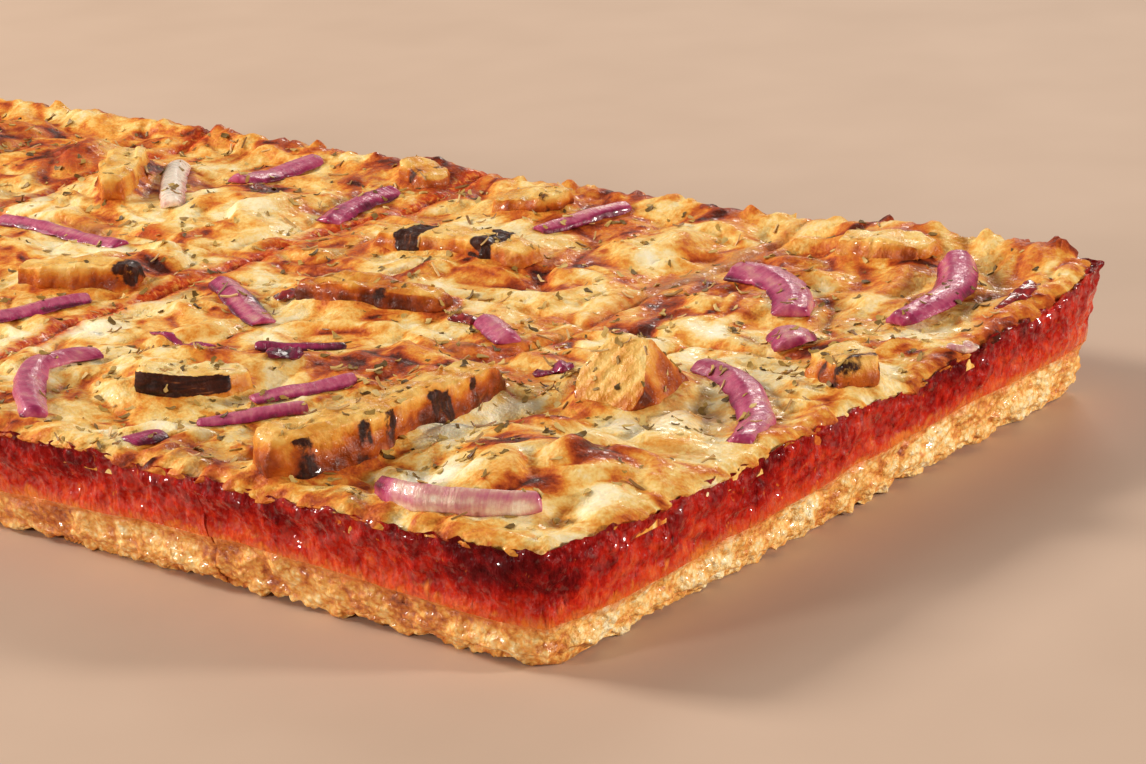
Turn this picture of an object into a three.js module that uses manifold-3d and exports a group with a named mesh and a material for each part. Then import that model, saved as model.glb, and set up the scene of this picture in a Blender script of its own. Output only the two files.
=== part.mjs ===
// A Detroit-style pizza in eight slices, with barbecue sauce, cheese, grilled chicken and red onion.
// Millimetres. X runs along the long side, Y along the short side and Z is up.
// Each slice is three layers, bread, sauce and cheese, and each topping that is as large as a berry is a
// piece of its own, which lies on the cheese.
import * as THREE from 'three';
import { mergeVertices } from 'three/addons/utils/BufferGeometryUtils.js';
import Module from 'manifold-3d';

const wasm = await Module();
wasm.setup();

// Driving sizes of the whole: the underside's length and width before its edge leans out by the flare
const LENGTH = 384;
const WIDTH = 204;
const RIM_HEIGHT = 28.3;
const RIM_FLARE = 7;
const RIM_WIDTH = 2.2;

// Corners: how far they reach along each side, and how round they are, from 0 for square to 1
const CORNER_REACH = 16;
const CORNER_ROUNDING = 0.45;

// Bread: how high it shows at the side and in the middle, and how wide its ramp between the two is
const CRUST_EDGE = 12.8;
const CRUST_MIDDLE = 18;
const CRUST_RAMP = 10;

// Sauce and cheese: their levels, and how much higher the cheese lies at the raised corner
const SAUCE_FLOOR = 22;
const CHEESE_LEVEL = 26.6;
const CHEESE_RISE = 2.6;

// Gaps between layers, slices and toppings, and the cheese's dip beside each cut
const LAYER_GAP = 0.35;
const CUT_GAP = 0.7;
const CHEESE_CUT_GAP = 1.6;
const CUT_DIP = 2.2;
const CUT_DIP_REACH = 3.2;
const ROW_DIP_NARROWING = 1.6;
const TOPPING_GAP = 0.3;
const CORNER_SLACK = 0.8;

// How finely the surfaces are divided
const WALL_STEP = 9.5;
const CHEESE_STEP = 9.5;
const CHEESE_EDGE_STEP = 3;
const FINEST = 0.02;

// The wheel cuts across the short way, from left to right, and the one cut along the long way.
// A cut leans by lean, bends by bend and wanders by wander from its place at.
const COLUMN_CUTS = [
  { at: -97, lean: -4, bend: 0, wander: 1.0, phase: 2.1 },
  { at: -1, lean: -1, bend: 6, wander: 2.2, phase: 1.4 },
  { at: 107, lean: 5, bend: 0, wander: 0.6, phase: 1.2 },
];
const COLUMNS = COLUMN_CUTS.length + 1;
const ROW_CUT = 19.5;

// Cheese that lies over meat: centre, size along and across, the turn of the long way in degrees, and height
const MOUNDS = [
  { x: 157, y: -70, along: 46, across: 25, turn: -58, height: 6.5 },
  { x: 180, y: -64, along: 30, across: 22, turn: 30, height: 6 },
  { x: 50, y: -60, along: 36, across: 24, turn: 40, height: 5.5 },
  { x: 84, y: -36, along: 40, across: 22, turn: 20, height: 2.5 },
  { x: 24, y: -86, along: 26, across: 20, turn: -20, height: 2.5 },
  { x: 56, y: 4, along: 50, across: 18, turn: 12, height: 2 },
  { x: 49, y: 44, along: 58, across: 20, turn: 5, height: 2.2 },
  { x: 40, y: 88, along: 34, across: 24, turn: -10, height: 2.5 },
  { x: 86, y: 80, along: 30, across: 22, turn: 35, height: 3 },
  { x: 88, y: 52, along: 24, across: 18, turn: -30, height: 2.2 },
  { x: 130, y: 46, along: 30, across: 22, turn: -25, height: 3.2 },
  { x: 148, y: 86, along: 34, across: 20, turn: 0, height: 2.4 },
  { x: 182, y: 30, along: 24, across: 18, turn: 60, height: 2.6 },
  { x: 152, y: -20, along: 34, across: 28, turn: 0, height: 2 },
  { x: 186, y: 8, along: 30, across: 22, turn: -25, height: 2 },
  { x: -38, y: 52, along: 44, across: 28, turn: -45, height: 3.2 },
  { x: -20, y: 0, along: 34, across: 22, turn: 25, height: 2.6 },
  { x: -86, y: 56, along: 54, across: 22, turn: -52, height: 3 },
  { x: -122, y: 66, along: 34, across: 26, turn: 20, height: 3 },
  { x: -20, y: 92, along: 34, across: 20, turn: -30, height: 2.6 },
  { x: -155, y: 80, along: 40, across: 24, turn: -15, height: 3.4 },
  { x: -62, y: -18, along: 40, across: 24, turn: 35, height: 4 },
  { x: -52, y: -76, along: 44, across: 24, turn: -28, height: 3.4 },
  { x: -150, y: -50, along: 44, across: 30, turn: 24, height: 5 },
  { x: -122, y: -84, along: 34, across: 22, turn: -12, height: 3.2 },
  { x: -128, y: 2, along: 42, across: 26, turn: 50, height: 3.6 },
  { x: -176, y: 28, along: 30, across: 24, turn: -60, height: 4 },
];

// Grilled chicken: the line along its middle, its width and height, how much lower it ends (drop), how
// much smaller its top and its ends are, and how far the top leans to the side
const CHICKEN = [
  {
    line: [[117, -102], [123, -90], [124, -68], [122, -34]],
    width: 11.5,
    height: 10.5,
    drop: 0.2,
    top: 0.62,
    ends: 0.8,
  },
  { line: [[55, -76], [65, -69], [72, -57]], width: 9, height: 5.2, top: 0.7, ends: 0.7 },
  { line: [[36, -1], [55, 3], [74, 8]], width: 12, height: 4.6, top: 0.6, ends: 0.6 },
  { line: [[22, 42], [45, 47], [70, 46]], width: 12, height: 4.8, top: 0.6, ends: 0.6 },
  { line: [[142, -26], [152, -23], [162, -26]], width: 23, height: 13, top: 0.42, ends: 0.55, lean: 1 },
  { line: [[178, 11], [186, 9], [193, 4]], width: 13, height: 6.5, top: 0.5, ends: 0.6, lean: 2 },
  { line: [[131, 89], [144, 92], [156, 91]], width: 12, height: 4.4, top: 0.7, ends: 0.7 },
  { line: [[-37, -26], [-22, -19], [-8, -12]], width: 11, height: 6, top: 0.6, ends: 0.6 },
  { line: [[-68, 36], [-78, 48], [-85, 58], [-91, 69]], width: 11, height: 6.4, top: 0.55, ends: 0.5 },
  { line: [[-16, 98], [-8, 95], [0, 92]], width: 11, height: 5, top: 0.5, ends: 0.6 },
  { line: [[26, 84], [36, 88], [46, 89]], width: 13, height: 4.2, top: 0.6, ends: 0.6 },
  { line: [[-64, -68], [-52, -76], [-36, -83]], width: 13, height: 8, top: 0.6, ends: 0.75 },
  { line: [[-152, -48], [-143, -44], [-134, -43]], width: 18, height: 9, top: 0.5, ends: 0.55, lean: 1 },
  { line: [[-168, 72], [-155, 63], [-142, 52]], width: 12, height: 6, top: 0.6, ends: 0.6 },
];

// Strips of red onion: the line along the middle, the width, how thick, and how far one is rolled on edge
const ONION = [
  { line: [[145, -96], [154, -100.5], [165, -99.5], [174, -95], [181, -88]], width: 7, thick: 3.4, roll: 62 },
  { line: [[153, 2], [166, -4], [178, -14], [187, -25], [190, -36]], width: 8, thick: 3.6, roll: 12 },
  { line: [[155, 31], [160, 27], [163, 22.5]], width: 8.5, thick: 3.4, roll: 15 },
  { line: [[120, 61], [130, 61], [142, 53], [149, 42]], width: 9, thick: 3.6, roll: 18 },
  { line: [[164, 89], [171, 78], [174.5, 64], [174, 49]], width: 9, thick: 3.8, roll: 25 },
  { line: [[59, 98], [55, 86], [51, 70]], width: 7, thick: 2.8, roll: 10 },
  { line: [[89, 3.5], [96, 0], [103, -4]], width: 8.5, thick: 3, roll: 8 },
  { line: [[-9, 83], [-11, 69], [-7, 54]], width: 7, thick: 2.8, roll: 10 },
  { line: [[-52, 99], [-54, 86], [-53, 68]], width: 8.5, thick: 3, roll: 12 },
  { line: [[10, -3], [27, -12.5], [42, -21]], width: 7, thick: 2.8, roll: 0 },
  { line: [[-87, 13], [-62, 11.5], [-36, 8.5]], width: 6.5, thick: 2.8, roll: 10 },
  { line: [[-21, -52], [-17, -40], [-11, -27]], width: 7, thick: 2.6, roll: 5 },
  { line: [[49, -100], [36, -90], [24, -75], [27, -61]], width: 6.5, thick: 3.4, roll: 20 },
  { line: [[80, -66], [86, -55], [92, -44]], width: 6, thick: 2.8, roll: 0 },
  { line: [[80, -83], [88, -74], [96, -64]], width: 4.8, thick: 2.6, roll: 10 },
  { line: [[78, -102], [78.5, -97], [79.5, -92]], width: 6, thick: 2.8, roll: 0 },
  { line: [[-51, 42], [-66, 57], [-83, 77]], width: 8, thick: 3, roll: 12 },
  { line: [[57, -40], [66, -35], [73, -26]], width: 6, thick: 2.6, roll: 8 },
  { line: [[188, 82], [190, 74], [190, 66]], width: 7, thick: 3.6, roll: 0 },
  { line: [[-36, -97], [-22, -92], [-14, -80]], width: 7, thick: 3, roll: 12 },
  { line: [[-112, -62], [-102, -50], [-106, -34]], width: 8, thick: 3.2, roll: 15 },
  { line: [[-178, -14], [-166, -24], [-172, -40]], width: 8, thick: 3.2, roll: 10 },
];

// Dried herb flakes that are fused to the cheese: how many, their size, how far they keep from toppings and
// from the edges of their slice, and how many draws each place is the best of, up to a distance apart
const FLAKES_PER_SLICE = { front: 7, back: 5 };
const FLAKE = { length: 3.2, width: 1.4, thick: 0.8, smallest: 0.8, largest: 1.25 };
const FLAKE_OUTLINE = [[-0.5, 0], [-0.2, -0.5], [0.25, -0.42], [0.5, 0], [0.2, 0.5], [-0.22, 0.4]];
const FLAKE_CURL = { up: 0.15, down: -0.1 };
const FLAKE_CLEARANCE = 3;
const FLAKE_MARGIN = 8;
const FLAKE_DRAWS = 60;
const FLAKE_APART = 60;

// Colours of the pieces
const COLOURS = {
  crust: '#d9a95c',
  sauce: '#9e2a16',
  cheese: '#f0d08a',
  chicken: '#d9962f',
  onion: '#a4557c',
};
const ROUGHNESS = { crust: 0.8, sauce: 0.3, cheese: 0.35, chicken: 0.5, onion: 0.3 };

// Random draws with a seed, so that each build is alike
function seededRandom(seed) {
  let state = seed;
  return () => {
    state = (state * 1664525 + 1013904223) % 4294967296;
    return state / 4294967296;
  };
}

const HALF_LENGTH = LENGTH / 2;
const HALF_WIDTH = WIDTH / 2;
const mix = (a, b, t) => a + (b - a) * t;
const bell = (distance, reach) => Math.exp(-((distance / reach) ** 2));

// Uneven relief of crusts and rims: sine waves with no common period, between about -1 and 1
function crags(x, y, z) {
  const first = Math.sin(0.71 * x + 1.3 * Math.sin(0.37 * y) + 0.9 * z);
  const second = Math.sin(0.83 * y + 1.1 * Math.sin(0.29 * x) - 0.7 * z + 1.7);
  return 0.55 * first + 0.45 * second;
}

// Heights along the outside: where the bread ends at the side, and the top of the rim
function crustEdge(x, y) {
  const alongLength = 2.3 * Math.sin((x - 45) / 40);
  const alongWidth = 1.7 * Math.sin((y + 20) / 45);
  return CRUST_EDGE + alongLength + alongWidth + 0.5 * crags(x / 3, y / 3, 0);
}

// The rim climbs towards the back right corner, where it ends in a tip, and is low at the row cut
const RAISED_CORNER = { height: 4, alongBack: 85, alongSide: 38 };
const TIP = { height: 0.6, reach: 12 };
const ROW_NOTCH = { depth: 2, reach: 9 };

function cornerRise(x, y) {
  return bell(x - HALF_LENGTH, RAISED_CORNER.alongBack) * bell(y - HALF_WIDTH, RAISED_CORNER.alongSide);
}

function rimHeight(x, y) {
  const tip = TIP.height * bell(Math.hypot(x - HALF_LENGTH, y - HALF_WIDTH), TIP.reach);
  const notch = x > HALF_LENGTH - 1 ? ROW_NOTCH.depth * bell(y - ROW_CUT, ROW_NOTCH.reach) : 0;
  return RIM_HEIGHT + RAISED_CORNER.height * cornerRise(x, y) + tip - notch + 0.9 * crags(x / 4, y / 4, 2);
}

// The place of a column cut at a given depth, which runs straight for the last stretch to each side
const STRAIGHT_END = 24;

function cutLine(cut, depth) {
  const y = THREE.MathUtils.clamp(depth, STRAIGHT_END - HALF_WIDTH, HALF_WIDTH - STRAIGHT_END);
  const t = y / HALF_WIDTH;
  return cut.at + cut.lean * t + cut.bend * t * t + cut.wander * Math.sin(y / 13 + cut.phase);
}

// The two edges of a column, and of a row
function columnEdges(column, y, edgeInset, cutInset) {
  const isFirst = column === 0;
  const isLast = column === COLUMNS - 1;
  return [
    isFirst ? -HALF_LENGTH + edgeInset : cutLine(COLUMN_CUTS[column - 1], y) + cutInset,
    isLast ? HALF_LENGTH - edgeInset : cutLine(COLUMN_CUTS[column], y) - cutInset,
  ];
}

function rowEdges(isBack, edgeInset, cutInset) {
  return isBack
    ? [ROW_CUT + cutInset, HALF_WIDTH - edgeInset]
    : [-HALF_WIDTH + edgeInset, ROW_CUT - cutInset];
}

// Turns a point of the plain rectangle into one of the real outline, with round corners and a rim that
// leans out by flare. inset moves a point of the outer edge inwards first. The lean grows from nothing to
// its full size over FLARE_REACH.
const FLARE_REACH = CORNER_REACH - 4;

function placeInPlan(x, y, inset, flare) {
  const reach = CORNER_REACH - inset;
  let dx = Math.abs(x) - (HALF_LENGTH - CORNER_REACH);
  let dy = Math.abs(y) - (HALF_WIDTH - CORNER_REACH);
  const nearSide = Math.max(dx, dy);
  if (nearSide <= 0) return [x, y];
  if (inset > 0) {
    const scale = reach / CORNER_REACH;
    if (dx > 0) dx *= scale;
    if (dy > 0) dy *= scale;
  }
  const across = Math.max(dx, dy);
  const share = Math.min(1, across / FLARE_REACH);
  let outX = dx > 0 ? 1 : 0;
  let outY = dy > 0 ? 1 : 0;
  if (dx > 0 && dy > 0) {
    const far = Math.hypot(dx, dy);
    outX = dx / far;
    outY = dy / far;
    const rounded = mix(1, across / far, CORNER_ROUNDING);
    dx *= rounded;
    dy *= rounded;
  }
  const ax = HALF_LENGTH - CORNER_REACH + dx + outX * flare * share;
  const ay = HALF_WIDTH - CORNER_REACH + dy + outY * flare * share;
  return [Math.sign(x) * ax, Math.sign(y) * ay];
}

// The cheese keeps a little further from the rim at the round corners: how much at a point
function cornerSlack(x, y) {
  const reach = 1.5 * CORNER_REACH;
  const dx = Math.abs(x) - (HALF_LENGTH - reach);
  const dy = Math.abs(y) - (HALF_WIDTH - reach);
  return CORNER_SLACK * THREE.MathUtils.clamp((3 * Math.min(dx, dy)) / CORNER_REACH, 0, 1);
}

// The cheese surface: mounds, soft ripples, and a dip at each cut
const MOUND_SLOPE = { along: 0.55, across: 0.6, steepness: 1.3 };

function distanceToCuts(x, y) {
  const columns = COLUMN_CUTS.map((cut) => Math.abs(x - cutLine(cut, y)));
  return Math.min(Math.abs(y - ROW_CUT) * ROW_DIP_NARROWING, ...columns);
}

function mound(shape, x, y) {
  const angle = THREE.MathUtils.degToRad(shape.turn);
  const dx = x - shape.x;
  const dy = y - shape.y;
  const along = (dx * Math.cos(angle) + dy * Math.sin(angle)) / (shape.along * MOUND_SLOPE.along);
  const across = (dy * Math.cos(angle) - dx * Math.sin(angle)) / (shape.across * MOUND_SLOPE.across);
  return shape.height * Math.exp(-((along * along + across * across) ** MOUND_SLOPE.steepness));
}

function cheeseTop(x, y) {
  const ripple = 0.5 * Math.sin(x / 6.3 + Math.sin(y / 9)) + 0.5 * Math.sin(y / 5.4 + Math.sin(x / 8.1) + 2);
  const swell = MOUNDS.reduce((sum, shape) => sum + mound(shape, x, y), 0);
  const dip = CUT_DIP * bell(distanceToCuts(x, y), CUT_DIP_REACH);
  return CHEESE_LEVEL + CHEESE_RISE * cornerRise(x, y) + ripple + swell - dip;
}

// Triangles of a closed shape, collected as lists of three points
function addQuad(triangles, a, b, c, d) {
  triangles.push([a, b, c], [a, c, d]);
}

// Fills a closed loop. flat holds the same points in a plane, a little crowned, so that no three of them
// are in one line.
function addFill(triangles, loop, flat) {
  const middle = flat.reduce((sum, p) => sum.add(p), new THREE.Vector2()).divideScalar(flat.length);
  const crowned = flat.map((p) => {
    const arm = p.clone().sub(middle);
    return arm.multiplyScalar(1 - 1e-6 * arm.lengthSq());
  });
  const direction = Math.sign(THREE.ShapeUtils.area(crowned));
  for (const [a, b, c] of THREE.ShapeUtils.triangulateShape(crowned, [])) {
    const area = THREE.ShapeUtils.area([crowned[a], crowned[b], crowned[c]]);
    triangles.push(area * direction > 0 ? [loop[a], loop[b], loop[c]] : [loop[a], loop[c], loop[b]]);
  }
}

const seenFromTop = (points) => points.map((p) => new THREE.Vector2(p[0], p[1]));

function toGeometry(triangles) {
  const geometry = new THREE.BufferGeometry();
  geometry.setAttribute('position', new THREE.Float32BufferAttribute(triangles.flat(2), 3));
  return mergeVertices(geometry, 1e-4);
}

function toSolid(geometry) {
  const mesh = new wasm.Mesh({
    numProp: 3,
    vertProperties: geometry.attributes.position.array,
    triVerts: new Uint32Array(geometry.index.array),
  });
  return new wasm.Manifold(mesh);
}

// Keeps only the largest connected piece, so that a cut leaves no scraps
function largestPiece(solid) {
  const mesh = solid.getMesh();
  const owner = Array.from({ length: mesh.vertProperties.length / mesh.numProp }, (_, i) => i);
  const find = (i) => {
    while (owner[i] !== i) {
      owner[i] = owner[owner[i]];
      i = owner[i];
    }
    return i;
  };
  const corners = mesh.triVerts;
  for (let i = 0; i < corners.length; i += 3) {
    owner[find(corners[i + 1])] = find(corners[i]);
    owner[find(corners[i + 2])] = find(corners[i]);
  }
  const counts = new Map();
  for (let i = 0; i < corners.length; i += 3) {
    counts.set(find(corners[i]), (counts.get(find(corners[i])) ?? 0) + 1);
  }
  const largest = [...counts.entries()].sort((a, b) => b[1] - a[1])[0][0];
  const kept = [];
  for (let i = 0; i < corners.length; i += 3) {
    if (find(corners[i]) === largest) kept.push(corners[i], corners[i + 1], corners[i + 2]);
  }
  const geometry = new THREE.BufferGeometry();
  geometry.setAttribute('position', new THREE.Float32BufferAttribute(mesh.vertProperties, 3));
  geometry.setIndex(kept);
  return withoutSlivers(geometry.toNonIndexed());
}

// Joins points that are closer than FINEST and drops the triangles that this closes up
function withoutSlivers(geometry) {
  const joined = mergeVertices(geometry, FINEST);
  const corners = joined.index.array;
  const kept = [];
  for (let i = 0; i < corners.length; i += 3) {
    const [a, b, c] = [corners[i], corners[i + 1], corners[i + 2]];
    if (a !== b && b !== c && c !== a) kept.push(a, b, c);
  }
  joined.setIndex(kept);
  return joined;
}

// One side of a slice in the plain rectangle, from its first corner up to but not with its last
function sidePoints(from, to, isOuter) {
  const span = Math.max(Math.abs(to[0] - from[0]), Math.abs(to[1] - from[1]));
  const count = Math.round(span / WALL_STEP);
  const keepOff = CRUST_RAMP + 2;
  const points = [];
  for (let i = 0; i < count; i += 1) {
    const t = i / count;
    points.push({ x: mix(from[0], to[0], t), y: mix(from[1], to[1], t), isOuter, isCorner: i === 0 });
  }
  if (isOuter) return points;
  const nearEdge = (p) => HALF_LENGTH - Math.abs(p.x) < keepOff || HALF_WIDTH - Math.abs(p.y) < keepOff;
  return points.filter((p) => p.isCorner || !nearEdge(p));
}

function sliceLoop(column, isBack) {
  const [front, back] = rowEdges(isBack, 0, CUT_GAP / 2);
  const edgesAt = (y) => columnEdges(column, y, 0, CUT_GAP / 2);
  const sides = [
    { from: [edgesAt(front)[0], front], to: [edgesAt(front)[1], front], isOuter: !isBack },
    { from: [edgesAt(front)[1], front], to: [edgesAt(back)[1], back], isOuter: column === COLUMNS - 1 },
    { from: [edgesAt(back)[1], back], to: [edgesAt(back)[0], back], isOuter: isBack },
    { from: [edgesAt(back)[0], back], to: [edgesAt(front)[0], front], isOuter: column === 0 },
  ];
  return sides.map(({ from, to, isOuter }, side) => {
    const points = sidePoints(from, to, isOuter);
    const followsCut = side % 2 === 1 && !isOuter;
    if (followsCut) points.forEach((p) => { p.x = edgesAt(p.y)[side === 1 ? 1 : 0]; });
    return { isOuter, points };
  });
}

// A layer of a slice. Each level gives an inset and a height for the outer edge, from the middle of the
// bottom, round the outside, to the middle of the top. A cut face closes each side that isn't outside.
function layerSolid(column, isBack, levels, flatBottom, flatTop) {
  const sides = sliceLoop(column, isBack);
  const atLevel = (p, level) => {
    const z = level.height(p.x, p.y);
    const lean = level.fullFlare ? RIM_FLARE : RIM_FLARE * (z / RIM_HEIGHT);
    const rough = level.rough ? level.rough * crags(p.x, p.y, z) : 0;
    const [x, y] = placeInPlan(p.x, p.y, level.inset, level.inset < CRUST_RAMP ? lean + rough : 0);
    return [x, y, z];
  };
  const triangles = [];
  const bottomLoop = [];
  const topLoop = [];
  sides.forEach((side, index) => {
    const next = sides[(index + 1) % sides.length];
    const previous = sides[(index + sides.length - 1) % sides.length];
    const chain = [...side.points, next.points[0]];
    if (side.isOuter) {
      const rings = levels.map((level) => chain.map((p) => atLevel(p, level)));
      for (let level = 0; level + 1 < rings.length; level += 1) {
        for (let i = 0; i + 1 < chain.length; i += 1) {
          const lower = rings[level];
          const upper = rings[level + 1];
          const goesOut = levels[level].inset > levels[level + 1].inset;
          if (goesOut) addQuad(triangles, lower[i + 1], upper[i + 1], upper[i], lower[i]);
          else addQuad(triangles, lower[i], lower[i + 1], upper[i + 1], upper[i]);
        }
      }
      bottomLoop.push(...rings[0].slice(0, -1));
      topLoop.push(...rings[rings.length - 1].slice(0, -1));
      return;
    }
    const inner = chain.slice(1, -1);
    const edgeColumn = (p, touchesOuter) => (touchesOuter
      ? levels.map((level) => atLevel(p, level))
      : [[p.x, p.y, flatBottom], [p.x, p.y, flatTop]]);
    const startColumn = edgeColumn(chain[0], previous.isOuter);
    const endColumn = edgeColumn(chain[chain.length - 1], next.isOuter);
    const low = inner.map((p) => [p.x, p.y, flatBottom]);
    const high = inner.map((p) => [p.x, p.y, flatTop]);
    const way = new THREE.Vector2(endColumn[0][0] - startColumn[0][0], endColumn[0][1] - startColumn[0][1]);
    way.normalize();
    const fillFace = (face) => {
      addFill(triangles, face, face.map(([x, y, z]) => new THREE.Vector2(x * way.x + y * way.y, z)));
    };
    fillFace([low[0], high[0], ...startColumn.slice().reverse()]);
    for (let i = 0; i + 1 < inner.length; i += 1) {
      addQuad(triangles, low[i], low[i + 1], high[i + 1], high[i]);
    }
    fillFace([high[inner.length - 1], low[inner.length - 1], ...endColumn]);
    bottomLoop.push(startColumn[0], ...low);
    topLoop.push(startColumn[startColumn.length - 1], ...high);
  });
  addFill(triangles, topLoop, seenFromTop(topLoop));
  const under = bottomLoop.slice().reverse();
  addFill(triangles, under, seenFromTop(under));
  return toGeometry(triangles);
}

// Bread: a rounded foot, an uneven side, a ledge for the sauce and a ramp up to the middle
const crustLevels = [
  { inset: 1.4, height: () => 0 },
  { inset: 0.2, height: (x, y) => 1.5 + 0.6 * crags(x, y, 5), rough: 0.7 },
  { inset: 0, height: (x, y) => 0.4 * crustEdge(x, y), rough: 0.9 },
  { inset: 0, height: (x, y) => 0.72 * crustEdge(x, y), rough: 0.9 },
  { inset: 0, height: crustEdge, rough: 0.6 },
  { inset: CRUST_RAMP, height: () => CRUST_MIDDLE },
];

// Sauce: over the ledge and up the side as a thin uneven rim round the cheese
const sauceHeight = (share) => (x, y) => mix(crustEdge(x, y) + LAYER_GAP, rimHeight(x, y), share);
const sauceLevels = [
  { inset: CRUST_RAMP, height: () => CRUST_MIDDLE + LAYER_GAP },
  { inset: 0, height: sauceHeight(0), rough: 0.6 },
  { inset: 0, height: sauceHeight(0.35), rough: 0.8 },
  { inset: 0, height: sauceHeight(0.7), rough: 0.7 },
  { inset: 0.8, height: sauceHeight(1), rough: 0.5 },
  { inset: RIM_WIDTH, height: (x, y) => rimHeight(x, y) - 1, fullFlare: true },
  { inset: RIM_WIDTH, height: () => SAUCE_FLOOR, fullFlare: true },
];

// Divides a span into even steps with one short step at each end
function gridLines(span) {
  const inner = span - 2 * CHEESE_EDGE_STEP;
  const count = Math.round(inner / CHEESE_STEP);
  const lines = [0];
  for (let i = 0; i <= count; i += 1) lines.push(CHEESE_EDGE_STEP + (inner * i) / count);
  lines.push(span);
  return lines.map((line) => line / span);
}

// Cheese of a slice. Raised by lift and deepened, it is the shape that the toppings are cut to
const DEEPER = 4;

function cheeseGeometry(column, isBack, lift = 0) {
  const edgeInset = RIM_WIDTH + LAYER_GAP;
  const cutInset = CHEESE_CUT_GAP / 2;
  const [front, back] = rowEdges(isBack, edgeInset, cutInset);
  const rows = gridLines(back - front);
  const [left, right] = columnEdges(column, (front + back) / 2, edgeInset, cutInset);
  const columns = gridLines(right - left);
  const floor = lift > 0 ? SAUCE_FLOOR - DEEPER : SAUCE_FLOOR + LAYER_GAP;
  const grid = rows.map((v) => {
    const y = mix(front, back, v);
    const [start, end] = columnEdges(column, y, edgeInset, cutInset);
    return columns.map((u) => {
      const x = mix(start, end, u);
      const [px, py] = placeInPlan(x, y, 0, RIM_FLARE - cornerSlack(x, y));
      return [px, py, cheeseTop(px, py) + lift];
    });
  });
  const triangles = [];
  for (let j = 0; j + 1 < rows.length; j += 1) {
    for (let i = 0; i + 1 < columns.length; i += 1) {
      addQuad(triangles, grid[j][i], grid[j][i + 1], grid[j + 1][i + 1], grid[j + 1][i]);
    }
  }
  const last = rows.length - 1;
  const end = columns.length - 1;
  const rim = [
    ...grid[0].slice(0, -1),
    ...grid.slice(0, -1).map((row) => row[end]),
    ...grid[last].slice(1).reverse(),
    ...grid.slice(1).map((row) => row[0]).reverse(),
  ];
  const foot = rim.map(([x, y]) => [x, y, floor]);
  rim.forEach((point, i) => {
    const next = (i + 1) % rim.length;
    addQuad(triangles, foot[i], foot[next], rim[next], point);
  });
  const under = foot.slice().reverse();
  addFill(triangles, under, seenFromTop(under));
  return toGeometry(triangles);
}

// Which slice a point lies in
function sliceAt(x, y) {
  const column = COLUMN_CUTS.filter((cut) => x > cutLine(cut, y)).length;
  return { column, isBack: y > ROW_CUT };
}

const smoothLine = (line) => new THREE.CatmullRomCurve3(line.map(([x, y]) => new THREE.Vector3(x, y, 0)));

// A piece of chicken: outlines stacked from under the cheese surface up to a smaller top. A layer's share is
// how high it is and its size is how wide, where narrowing says how much of the way to the top's own size.
const CHICKEN_STEP = 9;
const CHICKEN_FOOT = -3;
const CHICKEN_SHRINK = 0.35;
const CHICKEN_UNEVEN = { width: 0.1, height: 0.07, level: 0.3 };
const CHICKEN_LAYERS = [
  { share: -0.5, size: 0.98 },
  { share: 0.42, size: 1.04 },
  { share: 0.86, narrowing: 0.45 },
  { share: 1, narrowing: 1 },
];

function chickenGeometry(piece, random) {
  const uneven = (amount) => mix(-amount, amount, random());
  const curve = smoothLine(piece.line);
  const stations = Math.max(4, Math.round(curve.getLength() / CHICKEN_STEP));
  const lean = piece.lean ?? 0;
  const spine = [];
  for (let i = 0; i <= stations; i += 1) {
    const t = i / stations;
    const centre = curve.getPointAt(t);
    const way = curve.getTangentAt(t);
    const atEnd = i === 0 || i === stations;
    spine.push({
      centre,
      left: new THREE.Vector3(-way.y, way.x, 0),
      half: (piece.width / 2) * (atEnd ? piece.ends : 1 + uneven(CHICKEN_UNEVEN.width)),
      base: cheeseTop(centre.x, centre.y),
      height: piece.height * (1 - (piece.drop ?? 0) * t),
      lump: uneven(CHICKEN_UNEVEN.height),
    });
  }
  const middle = curve.getPointAt(0.5);
  const rings = CHICKEN_LAYERS.map(({ share, size, narrowing }) => {
    const width = size ?? mix(1, piece.top, narrowing);
    const inwards = narrowing ? (1 - width) * CHICKEN_SHRINK : 0;
    const outline = (sign) => spine.map((s) => {
      const rise = share < 0 ? CHICKEN_FOOT : (share + s.lump * share) * s.height;
      const p = s.centre.clone().lerp(middle, inwards);
      p.addScaledVector(s.left, sign * s.half * width + lean * Math.max(0, share));
      return [p.x, p.y, s.base + rise + uneven(CHICKEN_UNEVEN.level)];
    });
    return [...outline(-1), ...outline(1).reverse()];
  });
  const triangles = [];
  rings.slice(0, -1).forEach((ring, level) => {
    const above = rings[level + 1];
    ring.forEach((point, i) => {
      const next = (i + 1) % ring.length;
      addQuad(triangles, point, ring[next], above[next], above[i]);
    });
  });
  const top = rings[rings.length - 1];
  addFill(triangles, top, seenFromTop(top));
  const under = rings[0].slice().reverse();
  addFill(triangles, under, seenFromTop(under));
  return toGeometry(triangles);
}

// A strip of onion: an arched section swept along its line, narrower at both ends, which follows the cheese's
// slope. Its lift is a share of its width on edge and of its thickness lying flat.
const ONION_SECTION = [[-0.5, -0.5], [0.5, -0.5], [0.44, 0.15], [0, 0.5], [-0.44, 0.15]];
const ONION_STEP = 8.5;
const ONION_SLOPE_REACH = 3;
const ONION_TAPER = { least: 0.45, ends: 0.13 };
const ONION_LIFT = { onEdge: 0.36, flat: 0.22 };

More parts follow.
